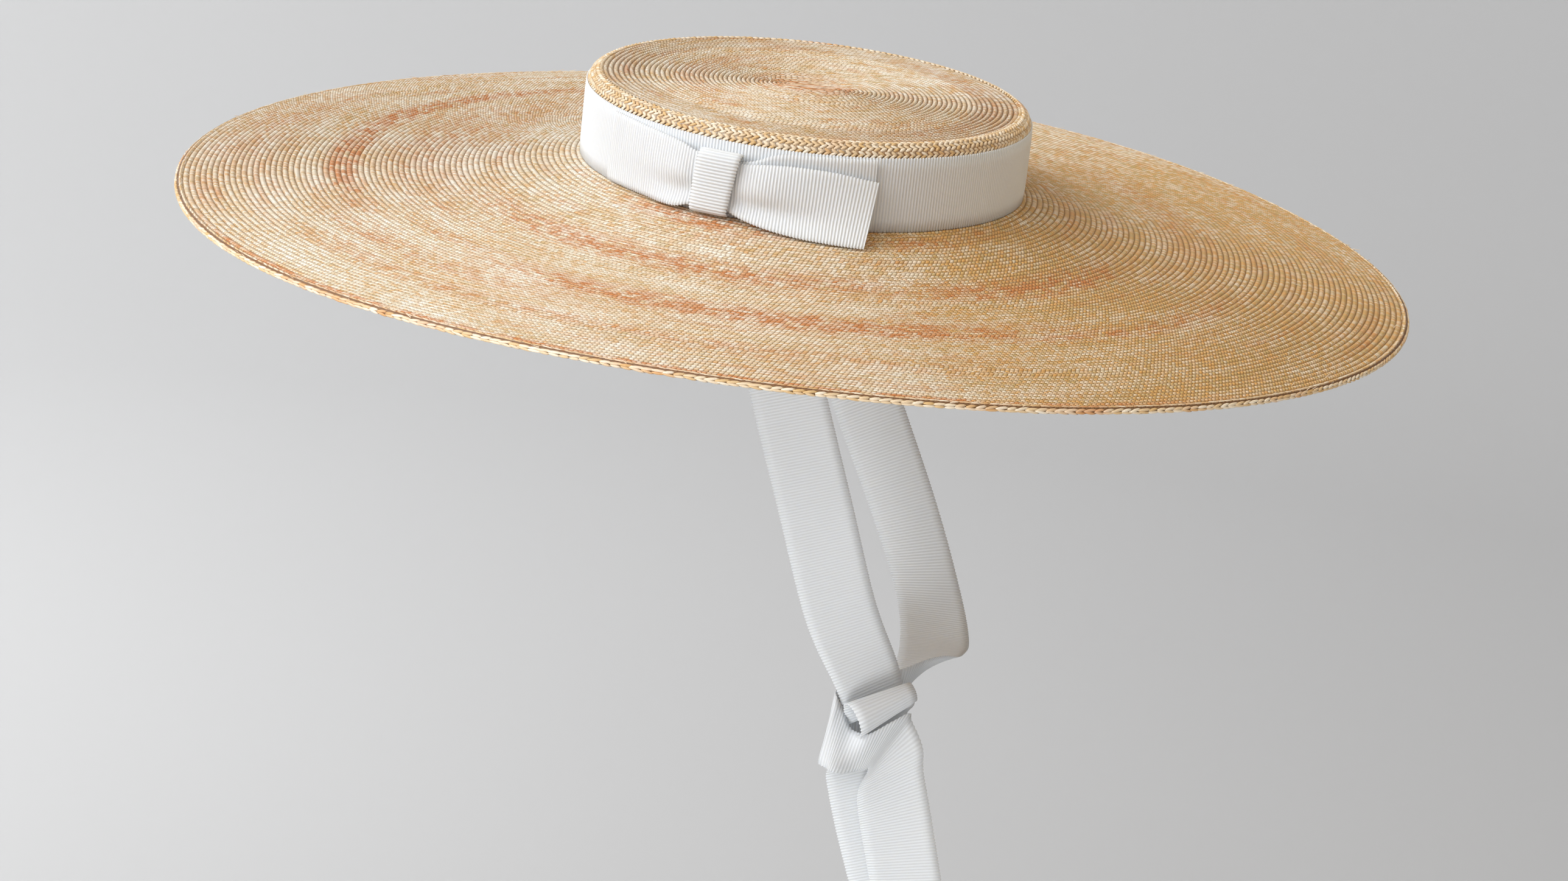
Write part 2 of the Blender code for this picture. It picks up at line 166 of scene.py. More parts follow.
# straps between the crown and the knot, as in the CAD part
RIGHT_STRAP = [
    # forward, outward, down, across x, across y, across z, width share, hug
    (-0.072, -0.979, 0.059, 0.94, -0.16, 0.31, 1.0, 0.8),
    (-0.022, -0.966, 0.207, 0.95, -0.06, 0.31, 1.0, 0.3),
    (0.024, -0.929, 0.351, 0.95, 0.0, 0.31, 1.0, 0.0),
    (0.099, -0.833, 0.578, 0.95, 0.05, 0.31, 1.0, 0.0),
    (0.175, -0.714, 0.810, 0.92, 0.20, 0.32, 1.0, 0.0),
]

LEFT_STRAP = [
    (-0.064, 0.979, 0.059, 0.93, 0.16, 0.33, 1.0, -0.8),
    (0.010, 0.956, 0.207, 0.91, 0.06, 0.40, 1.0, -0.3),
    (0.104, 0.894, 0.395, 0.88, 0.0, 0.45, 1.0, 0.0),
    (0.202, 0.801, 0.593, 0.88, -0.05, 0.47, 1.0, 0.0),
    (0.296, 0.662, 0.780, 0.88, -0.20, 0.42, 1.0, 0.0),
    (0.360, 0.453, 0.914, 0.92, -0.30, 0.20, 1.0, 0.0),
    (0.385, 0.186, 0.978, 0.95, -0.10, 0.02, 1.0, 0.0),
    (0.375, -0.093, 0.993, 0.90, 0.30, 0.10, 1.0, 0.0),
]

# the knot's own frame: along its roll, out of its front and up
KNOT_FORWARD = 0.2815
KNOT_OUTWARD = -0.731
KNOT_ALONG = (0.84, 0.44, 0.32)

# rows of the knot. Along and up are ribbon widths, out is a count of ribbon layers
RIGHT_KNOT_IN = [
    # along, out, up, across along, across out, across up, width share
    (-0.017, -7.11, 0.414, 1.0, 0.0, 0.0, 0.98),
    (0.0, -6.89, 0.103, 1.0, 0.0, 0.0, 0.96),
    (0.0, -6.74, -0.103, 1.0, 0.0, 0.0, 0.96),
    (0.0, -6.59, -0.179, 1.0, 0.0, 0.0, 0.96),
    (0.0, -5.85, -0.221, 1.0, 0.0, 0.0, 0.96),
    (0.0, -5.04, -0.179, 1.0, 0.05, 0.03, 0.96),
    (0.0, -4.60, -0.103, 1.0, 0.12, 0.05, 0.95),
]
ROLL_OUT = 4.1
ROLL_UP = 0.195
ROLL_TAPER = 0.12
ROLL_RISE = 0.06
ROLL_TURNS = (165.0, 130.0, 95.0, 60.0, 25.0, -10.0, -45.0, -75.0)

RIGHT_KNOT_OUT = [
    (-0.010, -1.11, -0.275, 0.97, 0.05, 0.14, 0.95),
    (-0.052, -3.30, -0.390, 0.98, 0.0, 0.12, 0.95),
    (-0.138, -4.44, -0.534, 0.98, 0.0, 0.10, 0.96),
    (-0.241, -5.63, -0.724, 0.97, 0.0, 0.10, 0.98),
]

LEFT_KNOT = [
    (0.672, -14.44, -0.293, 0.45, 0.30, 0.80, 0.98),
    (0.310, -10.22, -0.276, 0.20, 0.10, 0.97, 0.96),
    (-0.069, -8.81, -0.241, 0.22, 0.0, 0.97, 0.95),
    (-0.448, -8.59, -0.190, 0.30, 0.0, 0.95, 0.96),
    (-0.672, -7.85, -0.152, 0.36, 0.0, 0.93, 0.98),
    (-0.775, -5.63, -0.175, 0.52, -0.05, 0.86, 0.96),
    (-0.745, -3.60, -0.270, 0.62, -0.28, 0.74, 0.86),
    (-0.700, -0.90, -0.450, 0.72, -0.34, 0.60, 0.66),
    (-0.490, 1.30, -0.527, 0.47, 0.14, 0.87, 0.60),
    (-0.213, 2.00, -0.514, 0.62, 0.15, 0.77, 0.82),
    (-0.035, 1.40, -0.519, 0.76, 0.10, 0.64, 0.96),
    (-0.036, 0.37, -0.660, 0.81, 0.09, 0.58, 0.98),
]

# free tails below the knot. Forward and down are shares of the tail drop, inward is a count of layers
RIGHT_TAIL = [
    # forward, inward, down, across x, across y, across z, width share
    (-0.062, 4.90, 0.317, 0.92, 0.20, 0.30, 1.0),
    (-0.042, 5.40, 0.417, 0.93, 0.14, 0.30, 1.0),
    (0.018, 5.93, 0.617, 0.94, 0.08, 0.30, 1.0),
    (0.107, 6.30, 0.872, 0.94, 0.06, 0.29, 1.0),
    (0.156, 6.44, 1.000, 0.94, 0.06, 0.29, 1.0),
]

LEFT_TAIL = [
    (0.075, 1.00, 0.288, 0.80, 0.13, 0.58, 1.0),
    (0.080, 1.19, 0.383, 0.86, 0.10, 0.48, 1.0),
    (0.116, 1.78, 0.528, 0.93, 0.08, 0.33, 1.0),
    (0.158, 2.22, 0.683, 0.97, 0.07, 0.20, 1.0),
    (0.207, 2.67, 0.861, 0.98, 0.07, 0.12, 1.0),
    (0.249, 2.96, 1.006, 0.98, 0.07, 0.10, 1.0),
]

# russet arcs in the brim's straw, and one arc of painted shade where the strength is below zero: the side
# turned from the light, drawn less pale and more golden
BRIM_STREAKS_AND_SHADES = [
    # radius, first turn, last turn in degrees from X towards Y, half width in rows, strength
    (178.5, -118.0, -64.0, 2.6, 1.3),
    (185.0, -64.0, -24.0, 1.6, 0.65),
    (184.0, 130.0, 198.0, 2.0, 1.3),
    (216.0, -142.0, -74.0, 1.6, 0.5),
    (198.0, -152.0, -116.0, 1.8, 0.5),
    (134.0, -146.0, -80.0, 2.4, 1.0),
    (137.5, -70.0, -30.0, 2.4, 1.0),
    (95.5, -128.0, -96.0, 1.8, 1.3),
    (98.0, -74.0, -50.0, 1.6, 0.7),
    (153.0, 128.0, 206.0, 5.0, 0.45),
    (226.0, 152.0, 186.0, 5.0, 0.45),
    # painted shade: a russet line in the groove just inside the edge row
    (246.6, -150.0, -60.0, 0.6, 1.3),
    (135.0, 132.0, 180.0, 3.0, 0.4),
    (160.0, -10.0, 40.0, 3.0, 0.4),
    # painted shade: the side of the brim turned away from the light, drawn less pale and more golden
    (170.0, -66.0, 44.0, 60.0, -1.15),
]

# brown rows of the crown's tip, by count of rows from its middle
TIP_STREAKS = [
    (2.0, -180.0, 180.0, 2.2, 1.0),
    (7.0, 60.0, 200.0, 2.0, 0.5),
    (21.0, 110.0, 230.0, 2.5, 0.45),
    (33.0, -70.0, 60.0, 2.0, 0.5),
    (38.0, -100.0, 20.0, 1.4, 0.4),
]

# relief of one braid row from its inner groove to its outer one, in row reliefs
ROW_SHAPE = [
    # share of the row, height
    (0.0, -1.0),
    (0.20, 0.15),
    (0.50, 0.60),
    (0.80, 0.30),
]


def length_setting(name, description, default, least):
    return bpy.props.FloatProperty(
        name=name, description=description, default=default, min=least, unit="LENGTH",
    )


def colour_setting(name, description, default):
    return bpy.props.FloatVectorProperty(
        name=name, description=description, subtype="COLOR", size=4, default=default, min=0.0, max=1.0,
    )


class BoaterStraw(bpy.types.PropertyGroup):
    """Sizes and colours of the straw braid."""

    row_pitch: length_setting("Row pitch", "Width of a braid row that shows", 0.0023, 0.001)
    plait_pitch: length_setting("Plait pitch", "Length of one plait along a row", 0.0018, 0.001)
    row_relief: length_setting("Row relief", "How far a row stands above its groove", 0.00034, 0.0)
    cream: colour_setting("Cream", "The palest straw", (0.98, 0.94, 0.83, 1.0))
    gold: colour_setting("Gold", "The common straw", (0.74, 0.41, 0.13, 1.0))
    russet: colour_setting("Russet", "The brown straw of the streaks", (0.62, 0.235, 0.07, 1.0))


class BoaterRibbon(bpy.types.PropertyGroup):
    """Sizes and colours of the grosgrain ribbon."""

    rib_pitch: length_setting("Rib pitch", "Distance from rib to rib", 0.0013, 0.0005)
    rib_relief: length_setting("Rib relief", "Half the height of a rib", 0.00017, 0.0)
    thickness: length_setting("Thickness", "Thickness of the woven cloth", 0.0006, 0.0002)
    white: colour_setting("White", "Colour of the ribs", (0.815, 0.843, 0.87, 1.0))
    # the shade colour is painted shade for the grooves between the ribs
    shade: colour_setting("Shade", "Colour between the ribs", (0.65, 0.67, 0.685, 1.0))


class BoaterStage(bpy.types.PropertyGroup):
    """Sizes and colours of the plain stage."""

    floor_drop: length_setting("Floor drop", "How far the floor lies below the hat", 2.2, 0.3)
    backdrop: colour_setting("Backdrop", "Colour of the floor and backdrop", (0.585, 0.60, 0.618, 1.0))


def curve_weights(t):
    """Weights of the first value, first slope, second value and second slope on a smooth curve."""
    a = 2 * t ** 3 - 3 * t ** 2 + 1
    b = t ** 3 - 2 * t ** 2 + t
    c = -2 * t ** 3 + 3 * t ** 2
    d = t ** 3 - t ** 2
    return a, b, c, d


def table_value(rows, share):
    """Height read from a table of (share, height) rows with a smooth curve through them."""
    last = len(rows) - 1
    for i in range(last):
        if share <= rows[i + 1][0] or i == last - 1:
            break
    s0, h0 = rows[i]
    s1, h1 = rows[i + 1]

    def slope(k):
        low = max(k - 1, 0)
        high = min(k + 1, last)
        return (rows[high][1] - rows[low][1]) / (rows[high][0] - rows[low][0])

    step = s1 - s0
    a, b, c, d = curve_weights((share - s0) / step)
    return a * h0 + b * step * slope(i) + c * h1 + d * step * slope(i + 1)


def brim_height(share):
    return table_value(BRIM_FALL, share) * BRIM_DROP


def brim_wave(turn, share):
    total = 0.0
    for count, cosine, sine in BRIM_WAVES:
        total += cosine * math.cos(count * turn) + sine * math.sin(count * turn)
    return total * BRIM_DROP * share * share


def brim_top(turn, radius):
    share = max(0.0, (radius - BRIM_START) / BRIM_REACH)
    return brim_height(share) + brim_wave(turn, share)


def smooth_rows(stations, between):
    """Points on a smooth curve through the stations, each a flat tuple of numbers."""
    rows = []
    last = len(stations) - 1
    for i in range(last):
        before = stations[max(i - 1, 0)]
        first = stations[i]
        second = stations[i + 1]
        after = stations[min(i + 2, last)]
        for k in range(between):
            a, b, c, d = curve_weights(k / between)
            row = []
            for p0, p1, p2, p3 in zip(before, first, second, after):
                row.append(a * p1 + b * (p2 - p0) / 2 + c * p2 + d * (p3 - p1) / 2)
            rows.append(tuple(row))
    rows.append(tuple(stations[-1]))
    return rows


def feed(tree, target, values):
    """Feeds a node's inputs: a value that is a socket is linked, any other is set."""
    for key, value in values.items():
        socket = target.inputs[key]
        if isinstance(value, bpy.types.NodeSocket):
            tree.links.new(value, socket)
        else:
            socket.default_value = value


def node(tree, kind, values=None, **settings):
    made = tree.nodes.new(kind)
    for key, value in settings.items():
        setattr(made, key, value)
    feed(tree, made, values or {})
    return made


def calc(tree, operation, *values, clamp=False):
    made = node(tree, "ShaderNodeMath", dict(enumerate(values)), operation=operation, use_clamp=clamp)
    return made.outputs[0]


def times(tree, *values, clamp=False):
    return calc(tree, "MULTIPLY", *values, clamp=clamp)


def plus(tree, *values, clamp=False):
    return calc(tree, "ADD", *values, clamp=clamp)


def blend(tree, factor, first, second):
    return node(tree, "ShaderNodeMix", {0: factor, 6: first, 7: second}, data_type="RGBA").outputs[2]


def spread(tree, value, low, high, to_low=0.0, to_high=1.0):
    """Stretches a value from one range to another and keeps it inside."""
    values = {"Value": value, "From Min": low, "From Max": high, "To Min": to_low, "To Max": to_high}
    made = node(tree, "ShaderNodeMapRange", values, clamp=True)
    return made.outputs[0]


def vector(tree, x=0.0, y=0.0, z=0.0):
    return node(tree, "ShaderNodeCombineXYZ", {0: x, 1: y, 2: z}).outputs[0]


def parts(tree, value):
    return node(tree, "ShaderNodeSeparateXYZ", {0: value}).outputs


def object_place(tree):
    return node(tree, "ShaderNodeTexCoord").outputs["Object"]


def shader_value(tree, title):
    return node(tree, "ShaderNodeAttribute", attribute_name=title).outputs["Fac"]


def row_map(tree):
    """The piece's own map, as its values along and across."""
    return parts(tree, node(tree, "ShaderNodeUVMap", uv_map="UVMap").outputs[0])


def stored_value(tree, title, kind="FLOAT"):
    return node(tree, "GeometryNodeInputNamedAttribute", {"Name": title}, data_type=kind).outputs[0]


def store(tree, geometry, title, value, domain, kind="FLOAT"):
    """The geometry with that value stored on it."""
    values = {"Geometry": geometry, "Name": title, "Value": value}
    return node(tree, "GeometryNodeStoreNamedAttribute", values, data_type=kind, domain=domain).outputs[0]


def finish_tree(tree, end, geometry, material):
    """Ends a geometry tree in real geometry with its material set."""
    real = node(tree, "GeometryNodeRealizeInstances", {"Geometry": geometry}).outputs[0]
    dressed = node(tree, "GeometryNodeSetMaterial", {"Geometry": real, "Material": material})
    feed(tree, end, {"Geometry": dressed.outputs[0]})
    return tree


def noise(tree, place, scale, detail, dimensions="3D", **values):
    """Value of a noise texture."""
    values = {"Vector": place, "Scale": scale, "Detail": detail, **values}
    return node(tree, "ShaderNodeTexNoise", values, noise_dimensions=dimensions).outputs[0]


def bumped(tree, shader, height, distance, strength):
    """Fine relief of a surface."""
    bump = node(tree, "ShaderNodeBump", {"Height": height, "Distance": distance, "Strength": strength})
    feed(tree, shader, {"Normal": bump.outputs[0]})


def new_tree(name, kind, inputs, outputs):
    """An empty node group with named sockets."""
    tree = bpy.data.node_groups.new(name, kind)
    for title, sort, default in inputs:
        socket = tree.interface.new_socket(title, in_out="INPUT", socket_type="NodeSocket" + sort)
        if default is not None:
            socket.default_value = default
    for title, sort in outputs:
        tree.interface.new_socket(title, in_out="OUTPUT", socket_type="NodeSocket" + sort)
    return tree, tree.nodes.new("NodeGroupInput"), tree.nodes.new("NodeGroupOutput")


def straw_colour_group():
    """Colour of one straw from its own tone, the russet streaks and pale patches, and painted light: a
    highlight carried in the tone of braid rows, and shade in grooves, between plaits and on the brim's side
    away from the light.
    """
    name = "straw_colour"
    if name in bpy.data.node_groups:
        return bpy.data.node_groups[name]
    straw = bpy.context.scene.boater_straw
    tree, start, end = new_tree(name, "ShaderNodeTree", [
        ("Straw", "Float", 0.5),
        ("Streak And Groove Shade", "Float", 0.0),
        ("Pale And Side Shade", "Float", 0.0),
        ("Hue", "Float", 0.5),
        ("Depth", "Float", 0.0),
        ("Cream", "Color", straw.cream),
        ("Gold", "Color", straw.gold),
        ("Russet", "Color", straw.russet),
    ], [("Color", "Color")])
    put = start.outputs
    light = calc(tree, "MULTIPLY_ADD", put["Straw"], 0.62, 0.06)
    light = plus(tree, light, times(tree, put["Pale And Side Shade"], 0.36), clamp=True)
    gold = blend(tree, put["Hue"], (0.57, 0.40, 0.16, 1.0), put["Gold"])
    colour = blend(tree, light, gold, put["Cream"])
    russet = calc(tree, "MULTIPLY_ADD", put["Straw"], -0.70, 1.15)
    russet = times(tree, put["Streak And Groove Shade"], russet, clamp=True)
    colour = blend(tree, russet, colour, put["Russet"])
    # painted shade: the grooves between rows and the spaces between plaits are darkened towards this brown
    painted_shade = times(tree, put["Depth"], 0.72, clamp=True)
    colour = blend(tree, painted_shade, colour, (0.20, 0.095, 0.038, 1.0))
    feed(tree, end, {"Color": colour})
    return tree


def straw_plait_group():
    """The slanted plaits of a braid row: one tone for each with a painted highlight on its raised middle, its
    raised shape, and painted shade round its edges.
    """
    name = "straw_plait"
    if name in bpy.data.node_groups:
        return bpy.data.node_groups[name]
    tree, start, end = new_tree(name, "ShaderNodeTree", [
        ("Along", "Float", 0.0),
        ("Row", "Float", 0.0),
        ("Plaits", "Float", 300.0),
        ("Slant", "Float", 0.8),
    ], [
        ("Tone And Highlight", "Float"),
        ("Hue", "Float"),
        ("Height", "Float"),
        ("Gap Shade", "Float"),
        ("Place", "Vector"),
    ])
    put = start.outputs
    row = calc(tree, "FLOOR", put["Row"])
    across = calc(tree, "FRACT", put["Row"])
    slant = times(tree, calc(tree, "SUBTRACT", across, 0.5), put["Slant"])
    shift = times(tree, row, 0.37)
    along = plus(tree, plus(tree, put["Along"], slant), shift)
    count = calc(tree, "FLOOR", along)
    cell = vector(tree, count, row)
    middle = calc(tree, "SUBTRACT", plus(tree, count, 0.5), shift)
    turn = times(tree, calc(tree, "DIVIDE", middle, put["Plaits"]), math.tau)
    place = vector(tree, calc(tree, "COSINE", turn), calc(tree, "SINE", turn), row)
    chance = node(tree, "ShaderNodeTexWhiteNoise", {0: cell}, noise_dimensions="2D").outputs
    inside = calc(tree, "FRACT", along)

    def crown(value, power):
        middle = calc(tree, "ABSOLUTE", calc(tree, "MULTIPLY_ADD", value, 2.0, -1.0))
        return calc(tree, "SUBTRACT", 1.0, calc(tree, "POWER", middle, power))

    height = times(tree, crown(inside, 2.1), crown(across, 2.1))
    height = calc(tree, "SQRT", calc(tree, "MAXIMUM", height, 0.0))
    # painted shade round each plait's edges, and a painted highlight that lightens its raised middle
    gap_shade = spread(tree, height, 0.66, 0.16)
    tone = plus(tree, chance[0], calc(tree, "MULTIPLY_ADD", height, 0.5, -0.35))
    hue = parts(tree, chance[1])[1]
    feed(tree, end, {"Tone And Highlight": tone, "Hue": hue, "Height": height, "Gap Shade": gap_shade, "Place": place})
    return tree


def straw_streak_group(name, arcs, rows_at):
    """Streaks and pale patches along the rows: slow noise for each plait, and the arcs of a table; an arc of
    negative strength is painted shade that takes the pale patches away.
    """
    if name in bpy.data.node_groups:
        return bpy.data.node_groups[name]
    tree, start, end = new_tree(name, "ShaderNodeTree", [
        ("Place", "Vector", (1.0, 0.0, 0.0)),
        ("Seed", "Float", 0.0),
        ("Common", "Float", 0.5),
    ], [("Streak And Groove Shade", "Float"), ("Pale And Side Shade", "Float")])
    put = start.outputs
    way = parts(tree, put["Place"])

    def field(turns, rows, seed, detail=2.0):
        """Noise drawn out along the rows."""
        stretched = vector(
            tree, times(tree, way[0], turns), times(tree, way[1], turns),
            times(tree, way[2], rows),
        )
        return noise(tree, stretched, 1.0, detail, "4D", W=plus(tree, put["Seed"], seed))

    slow = spread(tree, field(2.4, 0.30, 1.0), 0.50, 0.74)
    fleck = field(26.0, 0.75, 5.0, 3.0)
    streak_and_groove_shade = times(tree, slow, put["Common"])
    painted_side_shade = 0.0
    for centre, first, last, width, strength in arcs:
        middle = math.radians((first + last) / 2)
        half = math.radians((last - first) / 2)
        facing = times(tree, way[0], math.cos(middle))
        facing = calc(tree, "MULTIPLY_ADD", way[1], math.sin(middle), facing)
        if half < 3.1:
            soft = min(0.30, half * 0.6)
            inside = spread(tree, facing, math.cos(min(half + soft, 3.14)), math.cos(half - soft))
        else:
            inside = 1.0
        away = calc(tree, "ABSOLUTE", calc(tree, "SUBTRACT", way[2], rows_at(centre)))
        near = spread(tree, away, width * 2.2, width * 0.5)
        mark = times(tree, times(tree, inside, near), abs(strength))
        # an arc of negative strength is painted shade
        if strength < 0:
            painted_side_shade = calc(tree, "MAXIMUM", painted_side_shade, mark)
        else:
            streak_and_groove_shade = calc(tree, "MAXIMUM", streak_and_groove_shade, mark)
    flecked = spread(tree, fleck, 0.38, 0.60, 0.05, 1.25)
    streak_and_groove_shade = times(tree, streak_and_groove_shade, flecked, clamp=True)
    # pale patches, less the painted side shade
    pale = calc(tree, "SUBTRACT", spread(tree, field(4.5, 0.20, 9.0, 3.0), 0.42, 0.72), painted_side_shade)
    feed(tree, end, {"Streak And Groove Shade": streak_and_groove_shade, "Pale And Side Shade": pale})
    return tree


def brim_row_at(radius):
    """Count of braid rows from the crown to that radius of the brim."""
    return (radius - BRIM_START) / (bpy.context.scene.boater_straw.row_pitch / MM)


def grosgrain_group():
    """The ribs of the ribbon and the fine warp threads that lie over them, with painted shade in the grooves
    between the ribs.
    """
    name = "grosgrain_weave"
    if name in bpy.data.node_groups:
        return bpy.data.node_groups[name]
    ribbon = bpy.context.scene.boater_ribbon
    tree, start, end = new_tree(name, "ShaderNodeTree", [
        ("Ribs", "Float", 0.0),
        ("Across", "Float", 0.0),
        ("Place", "Vector", (0.0, 0.0, 0.0)),
        ("White", "Color", ribbon.white),
        ("Shade", "Color", ribbon.shade),
    ], [("Color", "Color"), ("Roughness", "Float"), ("Height", "Float")])
    put = start.outputs
    wave = calc(tree, "COSINE", times(tree, put["Ribs"], math.tau))
    rib = calc(tree, "MULTIPLY_ADD", wave, 0.5, 0.5)
    threads = vector(tree, times(tree, put["Ribs"], 0.9), times(tree, put["Across"], 5.5))
    fibre = noise(tree, threads, 1.0, 2.0, "2D", Roughness=0.6)
    cloud = noise(tree, put["Place"], 22.0, 3.0)
    # painted shade: the colour goes from white on the ribs' crests to the shade colour in the grooves between
    # them
    light = plus(tree, times(tree, rib, 0.75), times(tree, fibre, 0.35))
    light = plus(tree, light, calc(tree, "MULTIPLY_ADD", cloud, 0.5, -0.25), clamp=True)
    colour = blend(tree, light, put["Shade"], put["White"])
    rough = spread(tree, fibre, 0.3, 0.7, 0.72, 0.88)
    height = plus(tree, times(tree, rib, 0.8), times(tree, fibre, 0.35))
    feed(tree, end, {"Color": colour, "Roughness": rough, "Height": height})
    return tree


def use_group(tree, group, values):
    return node(tree, "ShaderNodeGroup", values, node_tree=group)


def material(name, fill, *values):
    """The material of that name; fill(tree, shader, values) makes its nodes the first time."""
    if name not in bpy.data.materials:
        made = bpy.data.materials.new(name)
        made.use_nodes = True
        fill(made.node_tree, made.node_tree.nodes["Principled BSDF"], *values)
    return bpy.data.materials[name]


def fill_straw_rows(tree, shader, streaks, seed, common, groove):
    """Braid rows: each plait has its own tone by the row's map and a painted highlight on its raised middle,
    takes the russet streaks that it lies in, and is darkened by painted shade in the grooves between rows and
    between plaits.
    """
    split = row_map(tree)
    deep = shader_value(tree, "deep")
    plaits = shader_value(tree, "plaits")
    plait = use_group(tree, straw_plait_group(), {"Along": split[0], "Row": split[1], "Plaits": plaits})
    fibres = vector(tree, times(tree, split[0], 0.8), times(tree, split[1], 9.0))
    fibre = noise(tree, fibres, 1.0, 2.0, "2D")
    streak_and_groove_shade = use_group(tree, streaks, {"Place": plait.outputs["Place"], "Seed": seed, "Common": common})
    # the plait's tone brings its painted highlight into the straw's lightness
    straw = plus(tree, plait.outputs["Tone And Highlight"], calc(tree, "MULTIPLY_ADD", fibre, 0.3, -0.15))
    # painted shade: the darker of the row's groove shade and the plait's edge shade
    depth = calc(tree, "MAXIMUM", times(tree, deep, groove), plait.outputs["Gap Shade"])
    colour = use_group(tree, straw_colour_group(), {
        "Straw": straw, "Hue": plait.outputs["Hue"], "Streak And Groove Shade": streak_and_groove_shade.outputs["Streak And Groove Shade"],
        "Pale And Side Shade": streak_and_groove_shade.outputs["Pale And Side Shade"], "Depth": depth,
    })
    rough = spread(tree, straw, 0.0, 1.0, 0.62, 0.36)
    feed(tree, shader, {"Base Color": colour.outputs[0], "Roughness": rough})
    height = plus(tree, plait.outputs["Height"], times(tree, fibre, 0.12))
    bumped(tree, shader, height, 0.0005, 0.9)


def brim_row_material():
    streaks = straw_streak_group("brim_streaks", BRIM_STREAKS_AND_SHADES, brim_row_at)
    # the last number is the strength of the painted groove shade
    return material("straw_brim_rows", fill_straw_rows, streaks, 2.0, 0.6, 0.88)


def crown_row_material():
    streaks = straw_streak_group("crown_streaks", TIP_STREAKS, float)
    # the last number is the strength of the painted groove shade
    return material("straw_crown_rows", fill_straw_rows, streaks, 7.0, 0.8, 1.15)


def fill_straw_plaits(tree, shader):
    """Single plaits that are real shapes: each has its own stored tone."""
    tone = shader_value(tree, "straw")
    place = object_place(tree)
    fibre = noise(tree, place, 2600.0, 1.0)
    slow = noise(tree, place, 38.0, 2.0)
    straw = plus(tree, tone, calc(tree, "MULTIPLY_ADD", fibre, 0.4, -0.2))
    colour = use_group(tree, straw_colour_group(), {
        "Straw": straw, "Streak And Groove Shade": spread(tree, slow, 0.55, 0.85), "Pale And Side Shade": 0.05,
    })
    rough = spread(tree, straw, 0.0, 1.0, 0.6, 0.38)
    feed(tree, shader, {"Base Color": colour.outputs[0], "Roughness": rough})
    bumped(tree, shader, fibre, 0.0001, 0.5)


def fill_ribbon(tree, shader):
    split = row_map(tree)
    weave = use_group(tree, grosgrain_group(), {
        "Ribs": split[0], "Across": split[1], "Place": object_place(tree),
    })
    bumped(tree, shader, weave.outputs["Height"], 0.00012, 0.6)
    feed(tree, shader, {
        "Base Color": weave.outputs["Color"], "Roughness": weave.outputs["Roughness"],
        "Subsurface Weight": 0.35, "Subsurface Radius": (1.0, 0.9, 0.75), "Subsurface Scale": 0.0010,
        "Sheen Weight": 0.2, "Sheen Roughness": 0.4, "Specular IOR Level": 0.35,
    })


def fill_thread(tree, shader):
    values = {"Vector": object_place(tree), "Scale": 900.0, "Distortion": 2.0}
    twist = node(tree, "ShaderNodeTexWave", values)
    colour = blend(tree, twist.outputs["Fac"], (0.62, 0.60, 0.55, 1.0), (0.85, 0.84, 0.80, 1.0))
    bumped(tree, shader, twist.outputs["Fac"], 0.00005, 0.5)
    feed(tree, shader, {"Base Color": colour, "Roughness": 0.6})


def fill_backdrop(tree, shader):
    colour = bpy.context.scene.boater_stage.backdrop
    cloud = noise(tree, object_place(tree), 0.6, 1.0)
    darker = tuple(channel * 0.965 for channel in colour[:3]) + (1.0,)
    shown = blend(tree, cloud, darker, tuple(colour))
    feed(tree, shader, {"Base Color": shown, "Roughness": 0.95, "Specular IOR Level": 0.1})


